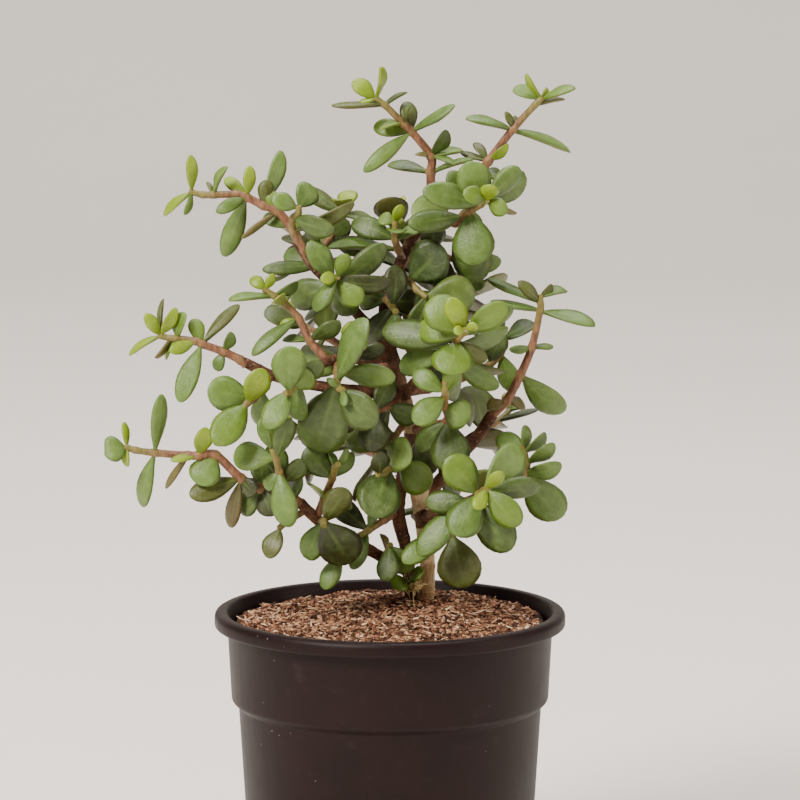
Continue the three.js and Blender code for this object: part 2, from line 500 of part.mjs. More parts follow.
// What a crowded leaf tries, in this order: it swings in its own plane or tilts out of it, and then
// grows smaller.
const SHIFTS = [[0, 0], [9, 0], [-9, 0], [0, 11], [0, -11], [15, 10], [-15, -10], [15, -10],
  [-15, 10], [0, 22], [0, -22], [26, 0], [-26, 0], [28, 24], [-28, -24], [28, -24], [-28, 24],
  [0, 38], [0, -38], [44, 0], [-44, 0]];
const SCALES = [1, 0.92, 0.84, 0.76, 0.68];
const OWN_ROOM = 0.9; // between leaves of one spray, which may touch near the stem
const CLEAR_OF_POT_Z = 118;
const CLEAR_OF_POT_R = 68;

const inPot = (p) => p.z < CLEAR_OF_POT_Z && Math.hypot(p.x, p.y) < CLEAR_OF_POT_R;

// A leaf as it grows, clear of all that is there, or null where there is no room for it.
function growLeaf(sprayName, jointKey, wanted, placed, stems) {
  for (const scale of SCALES) {
    for (const [swing, tilt] of SHIFTS) {
      const way = wanted.along.clone().applyAxisAngle(wanted.face, THREE.MathUtils.degToRad(swing));
      const hinge = new THREE.Vector3().crossVectors(wanted.face, way);
      way.applyAxisAngle(hinge, THREE.MathUtils.degToRad(tilt));
      const face = wanted.face.clone().applyAxisAngle(hinge, THREE.MathUtils.degToRad(tilt));
      const leaf = leafFrame(wanted.root, way, face, wanted.length * scale, wanted.width * scale);
      const points = leafPoints(leaf);
      const middle = leaf.root.clone().addScaledVector(leaf.along, 0.5 * leaf.length);
      const clash = points.some(inPot)
        || stems.some((stem) => stem.spray !== sprayName
          && stemTouches(points, stem, 0.5 * leaf.thick + LEAF_GAP))
        || placed.some((other) => {
          const reach = 0.6 * (leaf.length + other.length);
          if (other.joint === jointKey || middle.distanceToSquared(other.middle) > reach * reach) {
            return false;
          }
          const room = other.spray === sprayName
            ? OWN_ROOM : 0.5 * (leaf.thick + other.thick) + LEAF_GAP;
          return leafTouches(points, other, room) || leafTouches(other.points, leaf, room);
        });
      if (!clash) {
        return Object.assign(leaf, { spray: sprayName, joint: jointKey, points, middle });
      }
    }
  }
  return null;
}

const vector = (p) => new THREE.Vector3(p[0], p[1], p[2]);

// A spray's stem with the radius at each joint, from the distance still to go to its tip.
function twig(joints) {
  const points = joints.map(vector);
  const radii = [];
  let left = 0;
  for (let i = points.length - 1; i >= 0; i--) {
    left += i < points.length - 1 ? points[i].distanceTo(points[i + 1]) : 0;
    radii.unshift(TWIG_TIP_R + TWIG_TAPER * Math.sqrt(left));
  }
  return { points, radii };
}

const wood = WOOD.map((route) => ({ points: route.map(vector), radii: route.map((p) => p[3]) }));
const stems = wood.map((stem) => ({ ...stem, spray: 'trunk' }));
for (const spray of SPRAYS) {
  spray.twigs = spray.stems.map(twig);
  stems.push(...spray.twigs.map((stem) => ({ ...stem, spray: spray.name })));
}

// The leaves at one joint, as they would stand with nothing in their way.
function wantedLeaves(growth, joint, along, habit, back) {
  if (Array.isArray(growth[0])) {
    return growth.map((leaf) => singleLeaf(joint, leaf));
  }
  const [roll, first, second, open = habit.opens[Math.min(back, habit.opens.length - 1)]] = growth;
  return [pairedLeaf(joint, along, habit, roll, open, first),
    pairedLeaf(joint, along, habit, roll + 180, open, second)].filter((leaf) => leaf.length > 0);
}

// The leaves that are set singly come first, and the pairs fill the room that is left.
const leaves = [];
for (const single of [true, false]) {
  for (const spray of SPRAYS) {
    spray.stems.forEach((joints, s) => {
      const { points } = spray.twigs[s];
      const curve = new THREE.CatmullRomCurve3(points, false, 'catmullrom', 0.5);
      joints.forEach(([, , , ...growth], i) => {
        if (growth.length === 0 || Array.isArray(growth[0]) !== single) {
          return;
        }
        const along = curve.getTangent(i / (joints.length - 1));
        const wanted = wantedLeaves(growth, points[i], along, spray.habit, joints.length - 1 - i);
        for (const shape of wanted) {
          const leaf = growLeaf(spray.name, `${spray.name}.${s}.${i}`, shape, leaves, stems);
          if (leaf) {
            leaves.push(leaf);
          }
        }
      });
    });
  }
}

// ---- Leaves: their shape ------------------------------------------------------------------------

// A fleshy leaf: an obovate rim that starts in the stem, and a ridge along the middle of each face.
// Each entry of the rim is a place along the leaf and half its width there, and each of the ridge a
// place and half its thickness, as fractions of the leaf's length, width and thickness.
const LEAF_RIM = [[0.27, 0.3], [0.6, 0.5], [0.88, 0.37]];
const LEAF_ROOT_RIDGE = [0.16, 0.55];
const LEAF_RIDGE = [0.6, 0.5];

function leafGeometry(leaf) {
  const at = (u, v, w) => leaf.root.clone()
    .addScaledVector(leaf.along, u * leaf.length)
    .addScaledVector(leaf.across, v * leaf.width)
    .addScaledVector(leaf.face, w * leaf.thick);
  const right = LEAF_RIM.map(([u, v]) => at(u, v, 0));
  const left = LEAF_RIM.map(([u, v]) => at(u, -v, 0)).reverse();
  const points = [at(0, 0, 0), ...right, at(1, 0, 0), ...left];
  const last = points.length - 1;
  const [root, top, under] = [last + 1, last + 2, last + 3];
  points.push(at(LEAF_ROOT_RIDGE[0], 0, LEAF_ROOT_RIDGE[1]));
  points.push(at(LEAF_RIDGE[0], 0, LEAF_RIDGE[1]), at(LEAF_RIDGE[0], 0, -LEAF_RIDGE[1]));
  const faces = [root, 1, 0, root, 0, last, root, top, 1, root, last, top, 0, 1, last, 1, under, last];
  for (let k = 1; k < last; k++) {
    faces.push(top, k + 1, k, under, k, k + 1);
  }
  const geometry = new THREE.BufferGeometry().setFromPoints(points);
  geometry.setIndex(faces);
  return geometry;
}

// ---- Pieces -------------------------------------------------------------------------------------

const colours = {
  pot: new THREE.MeshStandardMaterial({ color: 0x3a2f2f, roughness: 0.45, metalness: 0 }),
  soil: new THREE.MeshStandardMaterial({ color: 0x6b4a35, roughness: 1, metalness: 0 }),
  bark: new THREE.MeshStandardMaterial({ color: 0x7a5a40, roughness: 0.85, metalness: 0 }),
  leaf: new THREE.MeshStandardMaterial({ color: 0x6f8f58, roughness: 0.5, metalness: 0 }),
};

const plant = new THREE.Group();

function addPiece(name, geometry, material) {
  const mesh = new THREE.Mesh(geometry, material);
  mesh.name = name;
  plant.add(mesh);
}

// Radius of the pot's outer wall at a height, below the step and in the band.
function wallRadius(z) {
  return z < POT_BAND_Z
    ? THREE.MathUtils.mapLinear(z, 0, POT_STEP_Z, POT_BASE_R, POT_STEP_R)
    : THREE.MathUtils.mapLinear(z, POT_BAND_Z, POT_HEIGHT, POT_BAND_R, POT_NECK_R);
}

// The pot: one thin wall, stepped out to the band, and turned over into a rolled rim.
function potGeometry() {
  const rimLow = POT_HEIGHT - RIM_DROP;
  const outside = [
    [0, 0], [POT_BASE_R, 0], [POT_STEP_R, POT_STEP_Z], [POT_BAND_R, POT_BAND_Z],
    [POT_NECK_R, rimLow + RIM_SKIRT], [RIM_R - RIM_SKIRT, rimLow], [RIM_R, rimLow + 1.2],
    [RIM_R - 0.2, POT_HEIGHT - 1.6], [RIM_R - RIM_SKIRT, POT_HEIGHT - 0.2],
    [RIM_INNER_R + 1, POT_HEIGHT], [RIM_INNER_R, POT_HEIGHT - 0.7],
  ];
  const inside = [
    [wallRadius(rimLow) - POT_WALL, rimLow + 1], [wallRadius(POT_BAND_Z) - POT_WALL, POT_BAND_Z + 0.8],
    [POT_STEP_R - POT_WALL, POT_STEP_Z], [wallRadius(POT_FLOOR) - POT_WALL, POT_FLOOR], [0, POT_FLOOR],
  ];
  const profile = [...outside, ...inside].map(([r, z]) => new THREE.Vector2(r, z));
  const shell = new THREE.LatheGeometry(profile, POT_SIDES).rotateX(Math.PI / 2);
  let pot = solidOf(shell);
  for (let i = 0; i < DRAIN_COUNT; i++) {
    const angle = (i / DRAIN_COUNT) * 2 * Math.PI;
    const hole = new THREE.CylinderGeometry(DRAIN_R, DRAIN_R, 4 * POT_FLOOR, 8).rotateX(Math.PI / 2);
    hole.translate(DRAIN_RING_R * Math.cos(angle), DRAIN_RING_R * Math.sin(angle), 0);
    pot = pot.subtract(solidOf(hole));
  }
  return geometryOf(pot);
}

// The potting mix: it fills the pot to just under the rim, uneven on top and heaped at the trunk.
function soilHeight(x, y) {
  const mound = SOIL_MOUND * Math.exp(-((x - FOOT[0]) ** 2 + (y - FOOT[1]) ** 2) / 700);
  const bumps = Math.sin(0.31 * x + 1.2) * Math.cos(0.27 * y) + 0.6 * Math.sin(0.53 * y - 0.4 * x);
  return SOIL_TOP + mound + SOIL_BUMP * bumps;
}

function soilGeometry() {
  const inner = (z) => wallRadius(z) - POT_WALL - SOIL_GAP;
  const ring = (radius, height) => Array.from({ length: SOIL_SIDES }, (_, j) => {
    const angle = (j / SOIL_SIDES) * 2 * Math.PI;
    const x = radius * Math.cos(angle);
    const y = radius * Math.sin(angle);
    return new THREE.Vector3(x, y, height ?? soilHeight(x, y));
  });
  const low = POT_FLOOR + SOIL_GAP;
  const rings = [
    ring(inner(low), low), ring(POT_STEP_R - POT_WALL - SOIL_GAP, POT_STEP_Z),
    ring(inner(SOIL_TOP) - 1, SOIL_TOP - 3),
  ];
  for (const part of [0.94, 0.7, 0.42, 0.14]) {
    rings.push(ring(part * inner(SOIL_TOP)));
  }
  const hole = new THREE.CylinderGeometry(FOOT_HOLE_R, FOOT_HOLE_R, 60, 16).rotateX(Math.PI / 2);
  hole.translate(FOOT[0], FOOT[1], FOOT_HOLE_Z + 30);
  return geometryOf(solidOf(loft(rings)).subtract(solidOf(hole)));
}

// The wood: the trunk, the second stem and the boughs, grown as one. `extra` thickens it all.
const WOOD_SIDES = 6;

function woodSolid(extra) {
  const parts = wood.map(({ points, radii }) => solidOf(
    stemGeometry(lengthened(points, extra), radii.map((r) => r + extra), WOOD_SIDES)));
  return parts.reduce((a, b) => a.add(b));
}

// A spray: its twigs and leaves fused, and cut clear of the wood that carries it.
const TWIG_SIDES = 4;
const TWIG_END = 1.5; // a stem's end past its last joint, which the last leaves root in

function sprayGeometry(spray, clearance) {
  const parts = spray.twigs.map(({ points, radii }) => solidOf(
    stemGeometry(lengthened(points, TWIG_END), radii, TWIG_SIDES)));
  parts.push(...leaves.filter((leaf) => leaf.spray === spray.name && leaf.length >= LEAST_SOLID_LEAF)
    .map((leaf) => solidOf(leafGeometry(leaf))));
  return geometryOf(parts.reduce((a, b) => a.add(b)).subtract(clearance));
}

addPiece('pot', potGeometry(), colours.pot);
addPiece('soil', soilGeometry(), colours.soil);
addPiece('trunk', geometryOf(woodSolid(0)), colours.bark);
const clearance = woodSolid(JOIN_GAP);
for (const spray of SPRAYS) {
  addPiece(spray.name, sprayGeometry(spray, clearance), colours.leaf);
}

export default plant;
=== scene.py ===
import math

import bmesh
import bpy
import numpy as np
from mathutils import Matrix, Vector, kdtree, noise


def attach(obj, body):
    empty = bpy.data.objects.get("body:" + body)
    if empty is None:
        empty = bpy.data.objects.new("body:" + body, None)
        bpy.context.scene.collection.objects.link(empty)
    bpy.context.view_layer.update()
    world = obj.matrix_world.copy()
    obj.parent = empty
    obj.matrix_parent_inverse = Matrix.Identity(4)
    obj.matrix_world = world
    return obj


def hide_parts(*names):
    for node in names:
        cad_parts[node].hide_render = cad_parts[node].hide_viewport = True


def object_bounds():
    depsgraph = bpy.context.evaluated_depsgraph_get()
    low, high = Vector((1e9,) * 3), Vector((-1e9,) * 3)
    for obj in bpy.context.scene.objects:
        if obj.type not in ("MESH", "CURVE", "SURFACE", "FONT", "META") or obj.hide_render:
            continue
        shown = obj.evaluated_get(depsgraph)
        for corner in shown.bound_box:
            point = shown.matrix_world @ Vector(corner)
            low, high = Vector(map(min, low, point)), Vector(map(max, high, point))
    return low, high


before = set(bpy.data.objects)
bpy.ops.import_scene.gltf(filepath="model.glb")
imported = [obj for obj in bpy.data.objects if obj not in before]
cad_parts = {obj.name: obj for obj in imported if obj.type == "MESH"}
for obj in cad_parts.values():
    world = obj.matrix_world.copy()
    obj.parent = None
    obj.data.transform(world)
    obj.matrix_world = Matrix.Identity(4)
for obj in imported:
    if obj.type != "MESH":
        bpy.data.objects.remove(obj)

cad_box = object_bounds()
MM = 0.001

# ---- Camera ---------------------------------------------------------------------------------------
# The plant is seen from the front and from far off, from just above its top, so the pot's rim shows
# as a shallow ring.


def linked(name, data):
    """An object of some data, put into the scene."""
    item = bpy.data.objects.new(name, data)
    bpy.context.collection.objects.link(item)
    return item


camera = linked("camera", bpy.data.cameras.new("camera"))
camera.location = (0.00372, -1.471, 0.397)
camera.rotation_euler = (math.radians(82.12), 0, 0)
camera.data.lens = 181.6
camera.data.sensor_width = 36
bpy.context.scene.camera = camera

# ---- Pot ------------------------------------------------------------------------------------------
# A nursery pot, blown or pressed in one thin wall of black-brown plastic. It steps out to a band,
# and its edge is rolled over into a lip. Six holes in the floor let the water out.


class Value:
    """What a node gives, with arithmetic that adds the Math nodes for it."""

    def __init__(self, graph, socket):
        self.graph, self.socket = graph, socket

    def maths(self, operation, *values):
        return self.graph.add("ShaderNodeMath", dict(enumerate(values)), operation=operation)

    def __add__(self, other):
        return self.maths("ADD", self, other)

    def __sub__(self, other):
        return self.maths("SUBTRACT", self, other)

    def __rsub__(self, other):
        return self.maths("SUBTRACT", other, self)

    def __mul__(self, other):
        return self.maths("MULTIPLY", self, other)

    def __abs__(self):
        return self.maths("ABSOLUTE", self)

    __radd__, __rmul__ = __add__, __mul__

    def rise(self, low, high, start=0.0, end=1.0):
        """Goes smoothly from start to end while the value goes from low to high."""
        values = {0: self, 1: low, 2: high, 3: start, 4: end}
        return self.graph.add("ShaderNodeMapRange", values, interpolation_type="SMOOTHSTEP")


def paint(tone):
    """A colour written as six hexadecimal digits, as the linear light that shaders use, and solid."""
    parts = [int(tone[i:i + 2], 16) / 255 for i in (0, 2, 4)]
    return (*(p / 12.92 if p < 0.04045 else ((p + 0.055) / 1.055) ** 2.4 for p in parts), 1)


class Graph:
    """A node tree to which nodes are added by type."""

    def __init__(self, tree):
        self.tree = tree

    def add(self, kind, values=None, output=0, **settings):
        """A node of a kind, with values or links for its sockets, and what its output gives."""
        node = self.tree.nodes.new(kind)
        for name, setting in settings.items():
            setattr(node, name, setting)
        for key, value in (values or {}).items():
            socket = node.inputs[key]
            if isinstance(value, Value):
                self.tree.links.new(value.socket, socket)
            elif socket.type == "RGBA":
                socket.default_value = paint(value)
            else:
                socket.default_value = value
        return Value(self, node.outputs[output])


class Finish(Graph):
    """A material: one shader, its even values, and what varies over it."""

    def __init__(self, name, **even):
        self.material = bpy.data.materials.new(name)
        self.material.use_nodes = True
        super().__init__(self.material.node_tree)
        self.tree.nodes.clear()
        self.surface = self.tree.nodes.new("ShaderNodeBsdfPrincipled")
        for socket, value in even.items():
            self.surface.inputs[socket.replace("_", " ")].default_value = value
        out = self.tree.nodes.new("ShaderNodeOutputMaterial")
        self.tree.links.new(self.surface.outputs[0], out.inputs[0])
        self.place = self.add("ShaderNodeTexCoord", output="Object")

    def feed(self, **varying):
        for socket, value in varying.items():
            self.tree.links.new(value.socket, self.surface.inputs[socket.replace("_", " ")])

    def stretched(self, x, y, z):
        return self.add("ShaderNodeMapping", {0: self.place, 3: (x, y, z)})

    def noise(self, size, detail, place=None):
        """Cloudy noise whose patches are about `size` metres across."""
        values = {"Vector": place or self.place, "Scale": 1 / size, "Detail": detail, "Roughness": 0.55}
        return self.add("ShaderNodeTexNoise", values)

    def cells(self, size):
        """How far each place is from the nearest of spots that stand about `size` metres apart."""
        return self.add("ShaderNodeTexVoronoi", {"Vector": self.place, "Scale": 1 / size}, "Distance")

    def mix(self, share, first, second, blend="MIX"):
        values = {0: share, 6: first, 7: second}
        return self.add("ShaderNodeMix", values, 2, data_type="RGBA", blend_type=blend)

    def ramp(self, value, *stops):
        """The colour at a value, between stops of a value and a colour each."""
        ramped = self.add("ShaderNodeValToRGB", {0: value})
        bands = ramped.socket.node.color_ramp.elements
        bands.remove(bands[1])
        bands[0].position, bands[0].color = stops[0][0], paint(stops[0][1])
        for place, tone in stops[1:]:
            bands.new(place).color = paint(tone)
        return ramped

    def known(self, name, output="Fac"):
        """A value kept on the mesh's points."""
        return self.add("ShaderNodeAttribute", None, output, attribute_name=name)

    def bump(self, height, depth, strength=1.0):
        return self.add("ShaderNodeBump", {"Strength": strength, "Distance": depth, "Height": height})


def shown(name, mesh, *materials):
    """A mesh as a piece of the plant."""
    for material in materials:
        mesh.materials.append(material)
    return linked(name, mesh)


def settled(piece, slot, *nodes):
    """A finished piece: it rides on the only body and stands for its nodes, whose parts it hides. Its slot
    is not used.
    """
    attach(piece, "root")
    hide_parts(*nodes)


def remade(name, mesh, *modifiers):
    """The plain mesh that a mesh becomes under modifiers, each given as its kind, its settings and,
    for a geometry tree, what goes into the tree."""
    carrier = linked(name, mesh)
    for kind, settings, inputs in modifiers:
        modifier = carrier.modifiers.new(kind, kind)
        for key, setting in settings.items():
            setattr(modifier, key, setting)
        for key, value in inputs.items():
            modifier[key] = value
    layer = bpy.context.evaluated_depsgraph_get()
    result = bpy.data.meshes.new_from_object(carrier.evaluated_get(layer))
    result.name = name
    bpy.data.objects.remove(carrier)
    return result


def ring_faces(rings, sides):
    """The faces between rings of points, where the rings are a mesh's first points."""
    corners = [[i * sides + j for j in (*range(sides), 0)] for i in range(rings)]
    return [(low[j], low[j + 1], high[j + 1], high[j])
            for low, high in zip(corners, corners[1:]) for j in range(sides)]


FILLET_STEPS = 4  # on each rounded corner


def rounded(corners):
    """A line through corners (across, up, fillet), each cut back by its fillet and bent round."""
    line = []
    for k, (x, z, fillet) in enumerate(corners):
        here = np.array([x, z])
        if fillet == 0:
            line.append(here)
            continue
        ends = [np.array(corners[k + side][:2]) - here for side in (-1, 1)]
        start, end = (here + e * fillet / np.linalg.norm(e) for e in ends)
        for t in np.linspace(0, 1, FILLET_STEPS + 1):
            line.append((1 - t) ** 2 * start + 2 * t * (1 - t) * here + t * t * end)
    return line


POT_HEIGHT = 115
POT_FLOOR = 2.2
RIM = 65  # its outer radius
pot_outside = [(0, 0, 0), (51.3, 0, 1.2), (56.2, 79.7, 0.5), (58.8, 82, 1.0), (60.3, 110.6, 0.8),
               (62.6, 109.3, 0.7), (RIM, 109.5, 1.1), (RIM, POT_HEIGHT, 2.3)]
pot_inside = [(60.5, POT_HEIGHT, 0.9), (58.7, 110.2, 1.6), (57.2, 82.8, 0.8), (54.6, 79.7, 0.8),
              (49.8, POT_FLOOR, 1.2), (0, POT_FLOOR, 0)]
pot_profile = rounded(pot_outside + pot_inside)
POT_SIDES = 144
pot_turns = [2 * math.pi * j / POT_SIDES for j in range(POT_SIDES)]
verts = [(r * math.sin(a), -r * math.cos(a), z) for r, z in pot_profile[1:-1] for a in pot_turns]
verts += [(0, 0, 0), (0, 0, POT_FLOOR)]
faces = ring_faces(len(pot_profile) - 2, POT_SIDES)
last_ring = len(verts) - 2 - POT_SIDES
for j in range(POT_SIDES):
    k = (j + 1) % POT_SIDES
    faces += [(len(verts) - 2, k, j), (last_ring + j, last_ring + k, len(verts) - 1)]
shell_mesh = bpy.data.meshes.new("pot_shell")
shell_mesh.from_pydata([tuple(c * MM for c in v) for v in verts], [], faces)

DRAIN_CIRCLE, DRAIN_RADIUS = 0.034, 0.0045
drills = bmesh.new()
for i in range(6):
    turn = math.radians(60 * i)
    spot = Matrix.Translation((DRAIN_CIRCLE * math.cos(turn), DRAIN_CIRCLE * math.sin(turn), 0.001))
    bmesh.ops.create_cone(drills, cap_ends=True, segments=32, radius1=DRAIN_RADIUS,
                          radius2=DRAIN_RADIUS, depth=0.01, matrix=spot)
drill_mesh = bpy.data.meshes.new("drills")
drills.to_mesh(drill_mesh)
drills.free()
drill = linked("drills", drill_mesh)
pot_mesh = remade("pot_shell", shell_mesh, ("BOOLEAN", {"object": drill, "solver": "EXACT"}, {}))
bpy.data.objects.remove(drill)
pot_mesh.shade_smooth()
pot_mesh.set_sharp_from_angle(angle=math.radians(38))

plastic = Finish("pot_plastic", Specular_IOR_Level=0.16)
cloud = plastic.noise(0.022, 4)
streak = plastic.noise(0.0035, 3, place=plastic.stretched(1, 1, 0.08))
grain = plastic.noise(0.0006, 2)
specks = (1 - plastic.cells(0.0042).rise(0.035, 0.075)) * plastic.noise(0.03, 2).rise(0.5, 0.68)
# The body colour is lighter along faint vertical streaks: a painted sheen. In the roughness and the bump the
# streaks are the plastic's own.
body = plastic.mix(cloud.rise(0.35, 0.7) * 0.6 + streak * 0.4, "140809", "1d0d0e")
dust = plastic.noise(0.006, 5).rise(0.55, 0.85) * 0.03
plastic.feed(
    Base_Color=plastic.mix(specks * 0.8, plastic.mix(dust, body, "8f8078"), "b9aca2"),
    Roughness=0.36 + 0.14 * cloud + 0.10 * streak + 0.4 * specks,
    Normal=plastic.bump(grain + 2.0 * streak, 0.00004, 0.6),
)
settled(shown("nursery_pot", pot_mesh, plastic.material), "pot", "pot")

# ---- Potting mix ----------------------------------------------------------------------------------
# The pot is filled to a few millimetres under its lip with a coarse mix of bark and coconut chips,
# crumbs and fibres. It is heaped a little round the foot of the trunk and lies as it was poured.
SOIL_TOP = 111.5
SOIL_SIDES = 120
SOIL_WALL = [(49.4, 2.7), (53.9, 79), (56.6, 108)]  # radius and height, just inside the pot
SOIL_RADII = np.linspace(56.8, 1.2, 40)  # of the rings on top
FOOT = (10.8, 18.9)  # where the trunk goes in
MOUND = 4.5
MOUND_SPREAD = 700  # in square millimetres
SUNK = 0.6  # how far the bumps lie below the plain top


def bed_height(x, y):
    mound = MOUND * math.exp(-((x - FOOT[0]) ** 2 + (y - FOOT[1]) ** 2) / MOUND_SPREAD)
    bumps = math.sin(0.31 * x + 1.2) * math.cos(0.27 * y) + 0.6 * math.sin(0.53 * y - 0.4 * x)
    lumps = noise.noise((0.35 * x, 0.35 * y, 4.0))
    return SOIL_TOP + mound + 0.8 * bumps + 0.5 * lumps - SUNK


rings = SOIL_WALL + [(r, None) for r in SOIL_RADII]
verts = []
for r, z in rings:
    for j in range(SOIL_SIDES):
        x, y = (r * f(2 * math.pi * j / SOIL_SIDES) for f in (math.cos, math.sin))
        verts.append((x * MM, y * MM, (z or bed_height(x, y)) * MM))
faces = [tuple(range(SOIL_SIDES))[::-1], *ring_faces(len(rings), SOIL_SIDES)]
faces.append(tuple(range(len(verts) - SOIL_SIDES, len(verts))))
bed_mesh = bpy.data.meshes.new("bed")
bed_mesh.from_pydata(verts, [], faces)
bed_mesh.shade_smooth()

humus = Finish("potting_mix", Roughness=0.95, Specular_IOR_Level=0.2)
crumble = humus.noise(0.0012, 4)
humus.feed(
    Base_Color=humus.ramp(crumble, (0.3, "1c120d"), (0.55, "3d271b"), (0.75, "5d3f2b")),
    Normal=humus.bump(crumble + humus.noise(0.003, 2), 0.0008),
)
settled(shown("mix_bed", bed_mesh, humus.material), "soil", "soil")


def tree_with(name, **inputs):
    """An empty geometry tree with named inputs, and what each of them gives."""
    tree = bpy.data.node_groups.new(name, "GeometryNodeTree")
    tree.interface.new_socket("Geometry", in_out="OUTPUT", socket_type="NodeSocketGeometry")
    for label, kind in (("Geometry", "Geometry"), *inputs.items()):
        tree.interface.new_socket(label, in_out="INPUT", socket_type="NodeSocket" + kind)
    graph = Graph(tree)
    source = tree.nodes.new("NodeGroupInput")
    given = {s.name: Value(graph, s) for s in source.outputs if s.name}
    return graph, given


def ended(graph, geometry, material):
    """Ends a geometry tree in plain faces that have their material."""
    whole = graph.add("GeometryNodeRealizeInstances", {0: geometry})
    coated = graph.add("GeometryNodeSetMaterial", {"Geometry": whole, "Material": material})
    out = graph.tree.nodes.new("NodeGroupOutput")
    graph.tree.links.new(coated.socket, out.inputs[0])
    return graph.tree


def grown(name, base, tree, **inputs):
    """The plain mesh that a geometry tree makes of a base mesh."""
    sockets = [item for item in tree.interface.items_tree if item.name in inputs]
    filled = {item.identifier: inputs[item.name] for item in sockets}
    return remade(name, base, ("NODES", {"node_group": tree}, filled))


def kept(name, meshes):
    """A hidden collection of shapes, for a tree to pick from in the order given."""
    group = bpy.data.collections.new(name)
    for k, mesh in enumerate(meshes):
        group.objects.link(bpy.data.objects.new(f"{name}_{k:02d}", mesh))
    return group


def set_out(graph, shapes, points, values):
    """Shapes of a collection set on points, with values for which one, how it turns and its size."""
    choice = graph.add("GeometryNodeCollectionInfo", {
        "Collection": shapes, "Separate Children": True, "Reset Children": True})
    return graph.add("GeometryNodeInstanceOnPoints", {
        "Points": points, "Instance": choice, "Pick Instance": True, **values})


scatter, given = tree_with("scatter", Shapes="Collection", PerSquareMetre="Float", Seed="Int",
                           Least="Vector", Most="Vector", Tilt="Float", Material="Material")
spots = scatter.add("GeometryNodeDistributePointsOnFaces", {
    "Mesh": given["Geometry"], "Density": given["PerSquareMetre"], "Seed": given["Seed"]})


def drawn(kind, low, high, seed, output):
    """A random number or vector for each spot."""
    index = {"FLOAT": 2, "FLOAT_VECTOR": 0, "INT": 4}[kind]
    values = {index: low, index + 1: high, 8: given["Seed"] + seed}
    return scatter.add("FunctionNodeRandomValue", values, output, data_type=kind)


lean = scatter.add("ShaderNodeCombineXYZ", {0: given["Tilt"], 1: given["Tilt"], 2: math.pi})
lean_back = scatter.add("ShaderNodeVectorMath", {0: lean, "Scale": -1.0}, operation="SCALE")
pieces = set_out(scatter, given["Shapes"], spots, {
    "Instance Index": drawn("INT", 0, 99, 1, 2),
    "Rotation": drawn("FLOAT_VECTOR", lean_back, lean, 2, 0),
    "Scale": drawn("FLOAT_VECTOR", given["Least"], given["Most"], 3, 0)})
toned = scatter.add("GeometryNodeStoreNamedAttribute", {
    "Geometry": pieces, "Name": "tone", "Value": drawn("FLOAT", 0.0, 1.0, 4, 1)},
    data_type="FLOAT", domain="INSTANCE")
scatter = ended(scatter, toned, given["Material"])

# The top of the bed, away from the wall, that the loose pieces lie on.
LOOSE_REACH = 0.0555
top = bmesh.new()
top.from_mesh(bed_mesh)
bare = [f for f in top.faces if f.normal.z < 0.2 or max(v.co.xy.length for v in f.verts) > LOOSE_REACH]
bmesh.ops.delete(top, geom=bare, context="FACES")
bed_top = bpy.data.meshes.new("bed_top")
top.to_mesh(bed_top)
top.free()


def flake(seed, long, wide, thick):
    """A splinter of bark, one unit long before it is scaled: a bent block with uneven ends."""
    rng = np.random.default_rng(seed)
    shape = bmesh.new()
    bmesh.ops.create_icosphere(shape, subdivisions=1, radius=0.5)
    bend = rng.uniform(-0.5, 0.5)
    for v in shape.verts:
        x, y, z = (c * s for c, s in zip(v.co, rng.uniform(0.75, 1.25, 3)))
        v.co = (x * long, y * wide, z * thick + bend * x * x)
    mesh = bpy.data.meshes.new("flake")
    shape.to_mesh(mesh)
    shape.free()
    return mesh


def fibre(seed, length, bow):
    """A strand of coconut fibre, three-sided and bent in a loose curve, about one unit long."""
    rng = np.random.default_rng(seed)
    steps, points, place = 7, [], np.zeros(3)
    heading = rng.uniform(-0.4, 0.4)
    turn = rng.normal(0, bow)
    lift = rng.uniform(-0.2, 0.3)
    for _ in range(steps):
        points.append(place.copy())
        heading += turn + rng.normal(0, 0.12)
        place = place + length / steps * np.array([math.cos(heading), math.sin(heading), lift])
        lift -= 0.08
    middle = np.mean(points, axis=0)
    corners = [(0, 0.045), (-0.04, -0.025), (0.04, -0.025)]
    verts = [p - middle + np.array([0, y, z]) for p in points for y, z in corners]
    faces = [(0, 1, 2), tuple(len(verts) - k for k in (1, 2, 3))]
    faces += [(3 * i + j, 3 * i + 3 + j, 3 * i + 3 + (j + 1) % 3, 3 * i + (j + 1) % 3)
              for i in range(steps - 1) for j in range(3)]
    mesh = bpy.data.meshes.new("fibre")
    mesh.from_pydata(verts, [], faces)
    mesh.shade_smooth()
    return mesh


chip = Finish("bark_chip", Roughness=0.85, Specular_IOR_Level=0.3)
browns = chip.ramp(chip.known("tone"), (0.0, "2c1912"), (0.35, "5f3c2b"), (0.62, "8f6045"), (0.85, "b18062"),
                   (0.95, "d5b08d"), (1.0, "ead0b0"))
streaks = chip.noise(0.0007, 4, place=chip.stretched(1, 0.4, 1))
darker = chip.mix(1.0, browns, "7a6656", "MULTIPLY")
chip.feed(
    Base_Color=chip.mix(streaks.rise(0.35, 0.7) * 0.55, browns, darker),
    Normal=chip.bump(streaks, 0.0003),
)
straw = Finish("coconut_fibre", Roughness=0.7, Specular_IOR_Level=0.35)
straw.feed(
    Base_Color=straw.ramp(straw.known("tone"), (0.0, "5a3a2a"), (0.5, "a67a5a"), (0.85, "cfa884"),
                          (1.0, "ecd4b4")),
    Normal=straw.bump(straw.noise(0.0005, 2), 0.0001),
)
grit = Finish("pale_grit", Roughness=0.8)
stone = grit.noise(0.0008, 3)
grit.feed(Base_Color=grit.mix(stone, "8d8882", "d5cec4"), Normal=grit.bump(stone, 0.0003))

